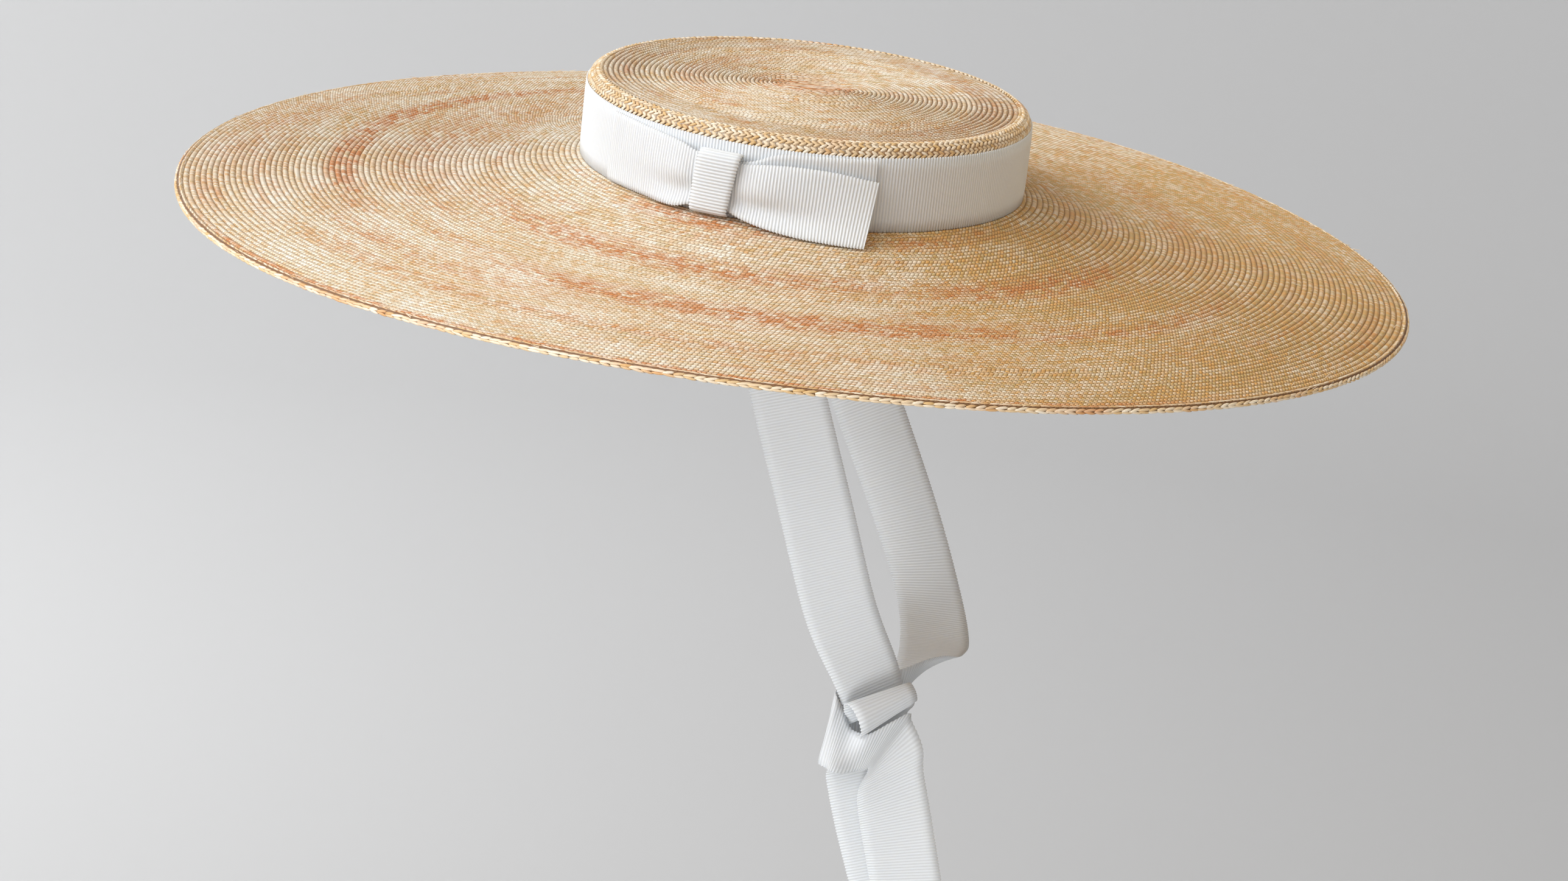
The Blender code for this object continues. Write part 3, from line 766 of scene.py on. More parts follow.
def turned_rows_tree():
    """Turns a section line once round Z, lets its edge wave, and stores the braid's map and the painted shade
    of its grooves.

    The section's points carry: row, the count of braid rows so far; plaits, the plaits round that row;
    sway, how far the brim's waves move it; deep, how much painted shade darkens it in the grooves between
    rows; oval, how much it is drawn out along X."""
    tree, start, end = new_tree("turned_rows", "GeometryNodeTree", [
        ("Geometry", "Geometry", None),
        ("Columns", "Int", 240),
        ("Unevenness", "Float", 0.0002),
        ("Seed", "Float", 0.0),
        ("Material", "Material", None),
    ], [("Geometry", "Geometry")])
    put = start.outputs
    section = put["Geometry"]
    rings = node(tree, "GeometryNodeAttributeDomainSize", {0: section}, component="MESH").outputs[0]
    columns = plus(tree, put["Columns"], 1)
    grid = node(tree, "GeometryNodeMeshGrid", {2: columns, 3: rings})
    mapped = parts(tree, grid.outputs["UV Map"])
    ring = calc(tree, "ROUND", times(tree, mapped[1], calc(tree, "SUBTRACT", rings, 1)))
    turn = times(tree, mapped[0], math.tau)
    cosine = calc(tree, "COSINE", turn)
    sine = calc(tree, "SINE", turn)

    def stored(title, index):
        values = {"Geometry": section, "Value": stored_value(tree, title), "Index": index}
        return node(tree, "GeometryNodeSampleIndex", values, data_type="FLOAT").outputs[0]

    here = node(tree, "GeometryNodeInputPosition").outputs[0]
    place = node(tree, "GeometryNodeSampleIndex", {
        "Geometry": section, "Value": here, "Index": ring,
    }, data_type="FLOAT_VECTOR").outputs[0]
    where = parts(tree, place)
    radius = where[0]
    wave = None
    for count, cosine_part, sine_part in BRIM_WAVES:
        angle = times(tree, turn, float(count))
        part = times(tree, calc(tree, "COSINE", angle), cosine_part * BRIM_DROP * MM)
        part = calc(tree, "MULTIPLY_ADD", calc(tree, "SINE", angle), sine_part * BRIM_DROP * MM, part)
        wave = part if wave is None else plus(tree, wave, part)
    wave = times(tree, wave, stored("sway", ring))

    slow = vector(
        tree, times(tree, cosine, 7.0), times(tree, sine, 7.0),
        times(tree, stored("row", ring), 0.35),
    )
    lumps = noise(tree, slow, 1.0, 2.0, "4D", W=put["Seed"])
    uneven = calc(tree, "SUBTRACT", lumps, 0.5)
    height = calc(tree, "MULTIPLY_ADD", uneven, put["Unevenness"], plus(tree, where[2], wave))
    width = plus(tree, radius, stored("oval", ring))
    moved = vector(tree, times(tree, width, cosine), times(tree, radius, sine), height)

    # the painted groove shade goes onto the mesh for the straw's colour
    groove_shaded_mesh = store(tree, grid.outputs["Mesh"], "deep", stored("deep", ring), "POINT")

    face_ring = node(tree, "GeometryNodeFieldOnDomain", {0: ring}, data_type="FLOAT", domain="FACE")
    face_ring = calc(tree, "FLOOR", plus(tree, face_ring.outputs[0], 0.01))
    plaits = stored("plaits", face_ring)
    unrolled = vector(tree, times(tree, mapped[0], plaits), stored("row", ring))
    counted = store(tree, groove_shaded_mesh, "plaits", plaits, "FACE")
    mapped_mesh = store(tree, counted, "UVMap", unrolled, "CORNER", "FLOAT2")
    placed = node(tree, "GeometryNodeSetPosition", {"Geometry": mapped_mesh, "Position": moved}).outputs[0]
    merged = node(tree, "GeometryNodeMergeByDistance", {"Geometry": placed, "Distance": 2e-6}).outputs[0]
    smooth = node(tree, "GeometryNodeSetShadeSmooth", {"Geometry": merged}).outputs[0]
    return finish_tree(tree, end, smooth, put["Material"])


def laid_plaits_tree():
    """Lays small rounded plaits end to end along lines; the lines' points carry up, the way that the
    surface faces, and slant, the turn of each plait against the line."""
    tree, start, end = new_tree("laid_plaits", "GeometryNodeTree", [
        ("Geometry", "Geometry", None),
        ("Pitch", "Float", 0.0025),
        ("Length", "Float", 0.003),
        ("Width", "Float", 0.0016),
        ("Height", "Float", 0.0010),
        ("Jitter", "Float", 0.15),
        ("Seed", "Int", 1),
        ("Material", "Material", None),
    ], [("Geometry", "Geometry")])
    put = start.outputs
    line = node(tree, "GeometryNodeMeshToCurve", {0: put["Geometry"]}).outputs[0]
    points = node(tree, "GeometryNodeCurveToPoints", {
        "Curve": line, "Length": put["Pitch"],
    }, mode="LENGTH")
    up = stored_value(tree, "up", "FLOAT_VECTOR")
    slant = stored_value(tree, "slant")
    faced = node(tree, "FunctionNodeAlignRotationToVector", {"Vector": up}, axis="Z").outputs[0]
    along = node(tree, "FunctionNodeAlignRotationToVector", {
        "Rotation": faced, "Vector": points.outputs["Tangent"],
    }, axis="X", pivot_axis="Z").outputs[0]

    def chance(low, high, shift):
        values = {2: low, 3: high, "Seed": plus(tree, put["Seed"], shift)}
        return node(tree, "FunctionNodeRandomValue", values, data_type="FLOAT").outputs[1]

    turned = plus(tree, slant, chance(-0.12, 0.12, 1))
    turn = vector(tree, z=turned)
    euler = node(tree, "FunctionNodeEulerToRotation", {0: turn}).outputs[0]
    slanted = node(tree, "FunctionNodeRotateRotation", {
        "Rotation": along, "Rotate By": euler,
    }, rotation_space="LOCAL").outputs[0]
    ball = node(tree, "GeometryNodeMeshUVSphere", {"Segments": 7, "Rings": 4, "Radius": 0.5})
    rounded = node(tree, "GeometryNodeSetShadeSmooth", {"Geometry": ball.outputs["Mesh"]}).outputs[0]
    grow = plus(tree, 1.0, times(tree, chance(-1.0, 1.0, 2), put["Jitter"]))
    size = vector(tree, times(tree, put["Length"], grow), put["Width"], put["Height"])
    laid = node(tree, "GeometryNodeInstanceOnPoints", {
        "Points": points.outputs["Points"], "Instance": rounded, "Rotation": slanted, "Scale": size,
    }).outputs[0]
    toned = store(tree, laid, "straw", chance(0.0, 1.0, 3), "INSTANCE")
    return finish_tree(tree, end, toned, put["Material"])


def geometry_tree(name):
    if name in bpy.data.node_groups:
        return bpy.data.node_groups[name]
    return {"turned_rows": turned_rows_tree, "laid_plaits": laid_plaits_tree}[name]()


def add_object(name, data):
    made = bpy.data.objects.new(name, data)
    bpy.context.scene.collection.objects.link(made)
    return made


def face_outward(mesh):
    bm = bmesh.new()
    bm.from_mesh(mesh)
    bmesh.ops.recalc_face_normals(bm, faces=bm.faces)
    bm.to_mesh(mesh)
    bm.free()


def grown(name, base, tree_name, settings, outward=True):
    """A plain mesh made from a base mesh by one of the geometry trees."""
    tree = geometry_tree(tree_name)
    source = add_object(name + ".base", base)
    modifier = source.modifiers.new("grow", "NODES")
    modifier.node_group = tree
    for item in tree.interface.items_tree:
        if item.in_out == "INPUT" and item.name in settings:
            modifier[item.identifier] = settings[item.name]
    bpy.context.view_layer.update()
    evaluated = source.evaluated_get(bpy.context.evaluated_depsgraph_get())
    mesh = bpy.data.meshes.new_from_object(evaluated)
    mesh.name = name
    bpy.data.objects.remove(source, do_unlink=True)
    if not mesh.polygons:
        raise RuntimeError(name + " came out empty")
    if outward:
        face_outward(mesh)
    return add_object(name, mesh)


def section_mesh(name, points):
    """A line of section points (radius, height, row, plaits, sway, deep, oval) in millimetres; deep is the
    painted shade of the groove between rows.
    """
    mesh = bpy.data.meshes.new(name)
    places = [(row[0] * MM, 0.0, row[1] * MM) for row in points]
    mesh.from_pydata(places, [(i, i + 1) for i in range(len(points) - 1)], [])
    columns = {"row": 2, "plaits": 3, "sway": 4, "deep": 5, "oval": 6}
    for title, column in columns.items():
        scale = MM if title == "oval" else 1.0
        stored = mesh.attributes.new(title, "FLOAT", "POINT")
        stored.data.foreach_set("value", [row[column] * scale for row in points])
    return mesh


def braid_points(path, pitch, relief, first_row, sides=1.0):
    """Relief of braid rows laid along a path of (radius, height) points, millimetre by millimetre.

    Each point comes back as (radius, height, row, deep, share of the path), where deep is the painted shade
    that darkens the groove at the foot of a row."""
    places = [Vector(point) for point in path]
    lengths = [0.0]
    for a, b in zip(places, places[1:]):
        lengths.append(lengths[-1] + (b - a).length)
    total = lengths[-1]
    count = max(1, round(total / pitch))

    def at(distance):
        distance = min(max(distance, 0.0), total)
        for i in range(len(places) - 1):
            if distance <= lengths[i + 1] or i == len(places) - 2:
                break
        share = (distance - lengths[i]) / max(lengths[i + 1] - lengths[i], 1e-9)
        return places[i].lerp(places[i + 1], share)

    points = []
    for row in range(count):
        for share, height in ROW_SHAPE:
            distance = (row + share) / count * total
            place = at(distance)
            ahead = at(distance + 0.6) - at(distance - 0.6)
            side = Vector((-ahead.y, ahead.x)).normalized() * sides
            moved = place + side * height * relief
            # painted shade: the lower a point sits in its row's groove, the darker its straw is drawn
            deep = max(0.0, -height)
            points.append((moved.x, moved.y, first_row + row + share, deep, distance / total))
    place = at(total)
    points.append((place.x, place.y, first_row + count - 0.001, 1.0, 1.0))
    return points


def on_turn(turn, radius, height):
    return Vector((radius * math.cos(turn), radius * math.sin(turn), height))


def plaits_round(radius):
    pitch = bpy.context.scene.boater_straw.plait_pitch / MM
    return float(max(6, round(math.tau * radius / pitch)))


def finish_piece(piece, nodes=()):
    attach(piece, "root")
    if nodes:
        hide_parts(*nodes)


# the brim's shell stops short of the edge, where the doubled row lies, and is painted with shade just inside
# it
SHELL_SHORT = 1.1
EDGE_SHADOW = 2.0

# half of the space between the brim's two layers
LAYERS_APART = 0.02


def brim_shell(name, top):
    """One of the brim's two layers: rows on the outside and a plain inside that is painted dark with shade,
    as it faces the other layer.
    """
    straw = bpy.context.scene.boater_straw
    shares = [i / 40 for i in range(41)]
    reach = BRIM_REACH - SHELL_SHORT
    half = STRAW_THICKNESS / 2
    middle = [(BRIM_START + s * reach, brim_height(s * reach / BRIM_REACH) - half) for s in shares]
    lift = half if top else -half
    path = [(radius, height + lift) for radius, height in middle]
    relief = straw.row_relief / MM
    shown = braid_points(path, straw.row_pitch / MM, relief, 0, 1.0 if top else -1.0)
    if not top:
        shown = [point for i, point in enumerate(shown) if i % 4 != 3]
    rows = []
    for radius, height, row, deep, share in shown:
        sway = ((radius - BRIM_START) / BRIM_REACH) ** 2
        ring = BRIM_START + (math.floor(row) + 0.5) * straw.row_pitch / MM
        # painted shade under the doubled row at the edge
        if radius > BRIM_RADIUS - EDGE_SHADOW:
            deep = 1.5
        rows.append((radius, height, row, plaits_round(ring), sway, deep, 0.0))
    apart = LAYERS_APART if top else -LAYERS_APART
    # the plain inside takes full painted groove shade, for the shade between the two layers
    for radius, height in reversed(middle[::5]):
        sway = ((radius - BRIM_START) / BRIM_REACH) ** 2
        rows.append((radius, height + apart, rows[-1][2] + 0.01, 200.0, sway, 1.0, 0.0))
    rows.append(rows[0][:2] + (rows[-1][2] + 0.01,) + rows[0][3:])
    return grown(name, section_mesh(name, rows), "turned_rows", {
        "Columns": 300, "Unevenness": 0.0006, "Seed": 4.0, "Material": brim_row_material(),
    })


class PlaitLines:
    """Lines that plaits are laid along, in millimetres, with the surface's way up and the plaits' slant."""

    def __init__(self):
        self.places = []
        self.edges = []
        self.ups = []
        self.slants = []

    def add_line(self, line, slant):
        """Adds one line of (place, way up) pairs."""
        first = len(self.places)
        for i, (place, up) in enumerate(line):
            self.places.append(tuple(place * MM))
            self.ups.append(up)
            self.slants.append(slant)
            if i:
                self.edges.append((first + i - 1, first + i))

    def laid(self, name, settings):
        """The plaits, as one piece."""
        mesh = bpy.data.meshes.new(name + "_lines")
        mesh.from_pydata(self.places, self.edges, [])
        stored = mesh.attributes.new("up", "FLOAT_VECTOR", "POINT")
        stored.data.foreach_set("vector", [value for up in self.ups for value in up])
        stored = mesh.attributes.new("slant", "FLOAT", "POINT")
        stored.data.foreach_set("value", self.slants)
        return grown(name, mesh, "laid_plaits", settings, outward=False)


class BOATER_OT_brim(bpy.types.Operator):
    """Builds the brim's upper and lower rows of braid"""

    bl_idname = "boater.brim"
    bl_label = "Brim"

    def execute(self, context):
        finish_piece(brim_shell("straw_brim", True), ["brim"])
        finish_piece(brim_shell("straw_brim_underside", False), ["brim"])
        return {"FINISHED"}


class BOATER_OT_brim_edge(bpy.types.Operator):
    """Lays the plaits of the doubled row along the brim's edge"""

    bl_idname = "boater.brim_edge"
    bl_label = "Brim edge"

    def execute(self, context):
        lines = [
            # radius in from the edge, height above the brim's middle, slant, outward lean
            (0.75, 0.35, 0.12, 0.6),
            (0.65, -0.55, -0.10, 1.6),
            (2.30, 0.90, -0.08, 0.0),
        ]
        steps = 720
        chain = PlaitLines()
        for inset, lift, slant, lean in lines:
            line = []
            radius = BRIM_RADIUS - inset
            share = (radius - BRIM_START) / BRIM_REACH
            rise = 1.0 if lift > 0 else -0.4
            for i in range(steps + 1):
                turn = math.tau * i / steps
                height = brim_height(share) + brim_wave(turn, share) - STRAW_THICKNESS / 2 + lift
                line.append((on_turn(turn, radius, height), on_turn(turn, lean, rise).normalized()))
            chain.add_line(line, slant)
        piece = chain.laid("straw_brim_edge", {
            "Pitch": 0.0038, "Length": 0.0056, "Width": 0.00115, "Height": 0.0010, "Jitter": 0.22,
            "Seed": 5, "Material": material("straw_plaits", fill_straw_plaits),
        })
        finish_piece(piece)
        return {"FINISHED"}


def round_corner(radius, height, size, steps):
    """Quarter round from the flat tip to the upright side."""
    points = []
    for i in range(steps + 1):
        a = math.pi / 2 * (1 - i / steps)
        points.append((radius - size + size * math.cos(a), height - size + size * math.sin(a)))
    return points


# width of a braid row on the crown's tip and on its side, and where the numbering of each stretch starts
TIP_ROW = 2.15
SIDE_ROW = 3.4
TIP_FIRST_ROW = 0
SIDE_FIRST_ROW = 60
INNER_SIDE_FIRST_ROW = 90
INNER_TIP_FIRST_ROW = 120

# the tip's middle is drawn out along X by so much
OVAL = 9.0


class BOATER_OT_crown(bpy.types.Operator):
    """Builds the crown: the tip's fine rows, the side's broader rows and the wall inside"""

    bl_idname = "boater.crown"
    bl_label = "Crown"

    def execute(self, context):
        straw = context.scene.boater_straw
        relief = straw.row_relief / MM
        flat = CROWN_RADIUS - CROWN_CORNER
        tip = []
        for i in range(25):
            share = i / 24
            tip.append((flat * share, CROWN_HEIGHT + TIP_DOME * (1 - share * share)))
        rows = []

        def add(points, oval_size):
            for radius, height, row, deep, share in points:
                ring = max(radius, 2.0)
                oval = oval_size * max(0.0, 1 - radius / flat) ** 2
                rows.append((max(radius, 0.0), height, row, plaits_round(ring), 0.0, deep, oval))

        def with_groove_shade(points, first, last, least, reach):
            """The same points, with at least that much painted groove shade over a stretch of the path and so
            near to a row's groove.
            """
            made = []
            for radius, height, row, deep, share in points:
                near = 0.5 - abs(row % 1 - 0.5) <= reach
                if near and first <= share <= last:
                    deep = max(deep, least)
                made.append((radius, height, row, deep, share))
            return made

        tip_points = braid_points(tip, TIP_ROW, relief, TIP_FIRST_ROW)
        # painted shadow under the overlapping edges of the tip's outer rows
        add(with_groove_shade(tip_points, 0.80, 1.0, 0.35, 0.3), OVAL)
        side = round_corner(CROWN_RADIUS, CROWN_HEIGHT, CROWN_CORNER, 8) + [(CROWN_RADIUS, -STRAW_THICKNESS)]
        side_points = braid_points(side, SIDE_ROW, relief * 1.5, SIDE_FIRST_ROW)
        # painted shade over the rows round the top corner, where the laid plaits lie
        add(with_groove_shade(side_points, 0.0, 0.22, 0.7, 0.5), 0.0)
        inner_radius = CROWN_RADIUS - STRAW_THICKNESS
        inner_height = CROWN_HEIGHT - STRAW_THICKNESS
        inner = round_corner(inner_radius, inner_height, CROWN_CORNER - STRAW_THICKNESS, 6)
        inner = [(inner_radius, -STRAW_THICKNESS)] + inner[::-1]
        add(braid_points(inner, SIDE_ROW, relief * 0.8, INNER_SIDE_FIRST_ROW), 0.0)
        inner_flat = inner_radius - CROWN_CORNER + STRAW_THICKNESS
        under = [(radius * inner_flat / flat, height - STRAW_THICKNESS) for radius, height in tip]
        add(braid_points(under[::-1], TIP_ROW, relief * 0.8, INNER_TIP_FIRST_ROW), OVAL)
        fixed = []
        for row in rows:
            plaits = row[3] if row[0] > 1.0 else 6.0
            fixed.append(row[:3] + (plaits,) + row[4:])
        fixed[0] = (0.0,) + fixed[0][1:]
        fixed[-1] = (0.0,) + fixed[-1][1:]
        piece = grown("straw_crown", section_mesh("crown_section", fixed), "turned_rows", {
            "Columns": 216, "Unevenness": 0.0005, "Seed": 31.0, "Material": crown_row_material(),
        })
        finish_piece(piece, ["crown"])
        return {"FINISHED"}


class BOATER_OT_crown_plaits(bpy.types.Operator):
    """Lays the big plaits of the rows that show between the band and the tip"""

    bl_idname = "boater.crown_plaits"
    bl_label = "Crown plaits"

    def execute(self, context):
        steps = 480
        chain = PlaitLines()
        # degrees round the corner, from the side towards the tip
        for row_angle in (15.0, 46.0, 76.0):
            # degrees from the row's middle, lift off the corner, slant, start round the crown
            for half_angle, lift, slant, start in ((-6.7, 0.22, 0.5, 0.0), (6.7, 0.08, -0.5, 0.002)):
                angle = math.radians(row_angle + half_angle)
                size = CROWN_CORNER + lift
                radius = CROWN_RADIUS - CROWN_CORNER + size * math.cos(angle)
                height = CROWN_HEIGHT - CROWN_CORNER + size * math.sin(angle)
                line = []
                for i in range(steps + 1):
                    turn = math.tau * (i / steps + start)
                    line.append((
                        on_turn(turn, radius, height), on_turn(turn, math.cos(angle), math.sin(angle)),
                    ))
                chain.add_line(line, slant)
        piece = chain.laid("straw_crown_plaits", {
            "Pitch": 0.00262, "Length": 0.0033, "Width": 0.00135, "Height": 0.0009, "Jitter": 0.10,
            "Seed": 9, "Material": material("straw_plaits", fill_straw_plaits),
        })
        finish_piece(piece)
        return {"FINISHED"}


# how many frayed ends stand out of the straw
LOOSE_ENDS = 230


class BOATER_OT_straw_ends(bpy.types.Operator):
    """Sets the few frayed straw ends that stand out of the brim"""

    bl_idname = "boater.straw_ends"
    bl_label = "Straw ends"

    def execute(self, context):
        chance = random.Random(12)
        bm = bmesh.new()
        tone = bm.verts.layers.float.new("straw")
        for _ in range(LOOSE_ENDS):
            at_edge = chance.random() < 0.55
            radius = chance.uniform(244.0, 249.5) if at_edge else chance.uniform(100.0, 244.0)
            turn = chance.uniform(0.0, math.tau)
            foot = on_turn(turn, radius, brim_top(turn, radius) + 0.1)
            lean = chance.uniform(-0.5, 0.5) + turn + math.pi / 2 * chance.choice((-1, 1))
            rise = chance.uniform(0.05, 0.35)
            way = on_turn(lean, 1.0, rise).normalized()
            side = way.cross(Vector((0, 0, 1))).normalized()
            long = chance.uniform(1.6, 4.2)
            wide = chance.uniform(0.10, 0.22)
            bend = Vector((0, 0, chance.uniform(-0.3, 0.5)))
            shade = chance.uniform(0.55, 1.0)
            rings = []
            for k in range(4):
                share = k / 3
                middle = foot + way * long * share + bend * share * share
                size = wide * (1 - 0.7 * share)
                ring = []
                for angle in (0.0, 2.094, 4.189):
                    offset = side * math.cos(angle) * size + Vector((0, 0, 1)) * math.sin(angle) * size
                    vert = bm.verts.new((middle + offset) * MM)
                    vert[tone] = shade
                    ring.append(vert)
                rings.append(ring)
            for low, high in zip(rings, rings[1:]):
                for i in range(3):
                    bm.faces.new((low[i], low[(i + 1) % 3], high[(i + 1) % 3], high[i]))
            bm.faces.new(rings[0][::-1])
            bm.faces.new(rings[-1])
        bmesh.ops.recalc_face_normals(bm, faces=bm.faces)
        mesh = bpy.data.meshes.new("straw_ends")
        bm.to_mesh(mesh)
        bm.free()
        mesh.materials.append(material("straw_plaits", fill_straw_plaits))
        finish_piece(add_object("straw_ends", mesh))
        return {"FINISHED"}


def woven(name, rows, closed=False, relief_share=1.0):
    """Ribbon with real ribs: rows of points across it, a quarter of a rib apart, in millimetres."""
    ribbon = bpy.context.scene.boater_ribbon
    relief = ribbon.rib_relief / MM * relief_share
    half = ribbon.thickness / MM / 2
    middle = np.array(rows, dtype=float)
    count, across = middle.shape[:2]
    if closed:
        ahead = np.roll(middle, -1, axis=0) - np.roll(middle, 1, axis=0)
    else:
        ahead = np.gradient(middle, axis=0)
    sideways = np.gradient(middle, axis=1)
    out = np.cross(ahead, sideways)
    out /= np.maximum(np.linalg.norm(out, axis=2, keepdims=True), 1e-9)
    rib = np.cos(np.arange(count) * math.pi / 2)
    edge_way = sideways / np.maximum(np.linalg.norm(sideways, axis=2, keepdims=True), 1e-9)
    middle[:, 0] -= edge_way[:, 0] * (0.10 + 0.20 * rib)[:, None]
    middle[:, -1] += edge_way[:, -1] * (0.10 + 0.20 * rib)[:, None]
    depth = (half + relief * rib)[:, None, None] * np.ones((count, across, 1))
    depth[:, 0] *= 0.55
    depth[:, -1] *= 0.55
    upper = middle + out * depth
    lower = middle - out * depth
    loop = np.concatenate([upper, lower[:, ::-1]], axis=1) * MM
    width = loop.shape[1]
    widths = np.linspace(0.0, RIBBON_WIDTH, across)
    v_values = np.concatenate([widths, widths[::-1], widths[:1]])
    faces = []
    corners = []
    spans = count if closed else count - 1
    for i in range(spans):
        low = i * width
        high = ((i + 1) % count) * width
        u0 = i / 4
        u1 = (i + 1) / 4
        for j in range(width):
            k = (j + 1) % width
            faces.append((low + j, high + j, high + k, low + k))
            v0 = v_values[j]
            v1 = v_values[j + 1]
            corners += [(u0, v0), (u1, v0), (u1, v1), (u0, v1)]
    if not closed:
        last = (count - 1) * width
        for j in range(across - 1):
            k = width - 1 - j
            v0 = v_values[j]
            v1 = v_values[j + 1]
            faces += [(j, j + 1, k - 1, k), (last + j + 1, last + j, last + k, last + k - 1)]
            corners += [(0, v0), (0, v1), (0.2, v1), (0.2, v0)] * 2
    mesh = bpy.data.meshes.new(name)
    mesh.from_pydata(loop.reshape(-1, 3).tolist(), [], faces)
    layer = mesh.uv_layers.new(name="UVMap")
    layer.data.foreach_set("uv", [value for corner in corners for value in corner])
    face_outward(mesh)
    mesh.shade_smooth()
    mesh.materials.append(material("grosgrain_ribbon", fill_ribbon))
    return add_object(name, mesh)


def even_rows(rows, centre, closed=False):
    """Rows a quarter of a rib apart along the line that centre(row) gives, with the line's length."""
    step = bpy.context.scene.boater_ribbon.rib_pitch / MM / 4
    values = np.array(rows, dtype=float)
    line = np.array([centre(row) for row in rows], dtype=float)
    lengths = np.concatenate([[0.0], np.cumsum(np.linalg.norm(np.diff(line, axis=0), axis=1))])
    total = lengths[-1]
    count = int(round(total / step))
    count -= count % 4
    wanted = np.linspace(0.0, total, count + 1)
    if closed:
        wanted = wanted[:-1]
    even = np.stack([np.interp(wanted, lengths, values[:, k]) for k in range(values.shape[1])], axis=1)
    return even, total


def declare_ribbon(piece, nodes):
    finish_piece(piece, nodes)


def from_bow_side(turn, radius, height):
    """Place round the crown at a turn from the bow's side towards the front."""
    return (radius * math.sin(turn), -radius * math.cos(turn), height)


class BOATER_OT_band(bpy.types.Operator):
    """Weaves the ribbon band that goes round the crown"""

    bl_idname = "boater.band"
    bl_label = "Hat band"

    def execute(self, context):
        radius = BAND_FACE - BAND_THICKNESS / 2
        pitch = context.scene.boater_ribbon.rib_pitch / MM
        ribs = round(math.tau * radius / pitch)
        rows = []
        for i in range(ribs * 4):
            turn = -math.tau * i / (ribs * 4)
            rows.append([from_bow_side(turn, radius, GAP + RIBBON_WIDTH * j / 6) for j in range(7)])
        piece = woven("ribbon_band", rows, closed=True)
        declare_ribbon(piece, ["hat_band"])
        return {"FINISHED"}


def bow_points(row):
    """Points across a bow piece at one station."""
    turn_low, turn_high, low, high, layers = row[:5]
    radii = [BAND_FACE + layers * LAYER + share * RIBBON_WIDTH for share in row[5:]]
    lift = RIBBON_THICKNESS / 2 + GAP + low * RIBBON_WIDTH
    z_low = brim_top(math.radians(turn_low - 90), radii[0]) + lift
    z_high = high * RIBBON_WIDTH
    points = []
    for j, radius in enumerate(radii):
        share = j / (len(radii) - 1)
        turn = math.radians(turn_low + (turn_high - turn_low) * share)
        height = z_low + (z_high - z_low) * share
        points.append(from_bow_side(turn, radius, height))
    return points


def bow_sheet(name, table, nodes):
    stations = [tuple(row[:5]) + row[5] for row in table]
    dense = smooth_rows(stations, 24)
    even, length = even_rows(dense, lambda row: bow_points(row)[2])
    rows = [smooth_rows(bow_points(tuple(row)), 3) for row in even]
    piece = woven(name, rows)
    declare_ribbon(piece, nodes)


class BOATER_OT_bow(bpy.types.Operator):
    """Weaves the flat bow: left piece, right layer, front tail and the wrap round its middle"""

    bl_idname = "boater.bow"
    bl_label = "Bow"

    def execute(self, context):
        bow_sheet("ribbon_bow_left", LEFT_LOOP, ["bow_left_loop"])
        bow_sheet("ribbon_bow_right", RIGHT_LOOP, ["bow_right_loop"])
        bow_sheet("ribbon_bow_tail", BOW_TAIL, ["bow_tail"])
        section = WRAP_SECTION[-1:] + WRAP_SECTION + WRAP_SECTION[:2]
        dense = smooth_rows(section, 24)[24:-24]
        low = min(up for _, up in WRAP_SECTION)
        high = max(up for _, up in WRAP_SECTION)

        def points(row):
            radius = BAND_FACE + row[0] * LAYER
            share = (row[1] - low) / (high - low)
            first = WRAP_TURNS_LOW[0] + (WRAP_TURNS_HIGH[0] - WRAP_TURNS_LOW[0]) * share
            second = WRAP_TURNS_LOW[1] + (WRAP_TURNS_HIGH[1] - WRAP_TURNS_LOW[1]) * share
            made = []
            for j in range(9):
                turn = math.radians(first + (second - first) * j / 8)
                made.append(from_bow_side(turn, radius, row[1] * RIBBON_WIDTH))
            return made

        even, length = even_rows(dense, lambda row: points(row)[4], closed=True)
        rows = [points(row) for row in even]
        piece = woven("ribbon_bow_wrap", rows, closed=True)
        declare_ribbon(piece, ["bow_wrap"])
        return {"FINISHED"}


def knot_frame():
    along = Vector(KNOT_ALONG).normalized()
    out = along.cross(Vector((0, 0, 1))).normalized()
    up = out.cross(along)
    return Matrix((along, out, up)).transposed()


def knot_centre():
    return Vector((KNOT_FORWARD * STRAP_DROP, KNOT_OUTWARD * SEWN_RADIUS, -STRAP_DROP))


def sewn_rows(side):
    """The end that is sewn flat inside the wall; side is -1 for the near ribbon and 1 for the far one."""
    rows = []
    for turn, height, x, y, z in SEWN_ENDS:
        a = math.radians(turn)
        place = (SEWN_RADIUS * math.sin(a), side * SEWN_RADIUS * math.cos(a), height * CROWN_HEIGHT)
        rows.append(place + (x, -side * y, z, 1.0, -side))
    return rows


def strap_rows(table):
    rows = []
    for forward, outward, down, x, y, z, width, hug in table:
        place = (forward * STRAP_DROP, outward * SEWN_RADIUS, -down * STRAP_DROP)
        rows.append(place + (x, y, z, width, hug))
    return rows


def knot_rows(table):
    frame_of_knot = knot_frame()
    rows = []
    for along, out, up, x, y, z, width in table:
        inside = Vector((along * RIBBON_WIDTH, out * LAYER, up * RIBBON_WIDTH))
        place = knot_centre() + frame_of_knot @ inside
        across = frame_of_knot @ Vector((x, y, z))
        rows.append(tuple(place) + tuple(across) + (width, 0.0))
    return rows


def roll_table():
    """The turn of the near ribbon that bulges out of the knot."""
    rows = []
    for turn in ROLL_TURNS:
        a = math.radians(turn)
        lean = -ROLL_TAPER * math.cos(a)
        rise = ROLL_RISE - ROLL_TAPER * math.sin(a)
        rows.append((0.0, ROLL_OUT * math.cos(a), ROLL_UP * math.sin(a), 1.0, lean, rise, 0.97))
    return rows


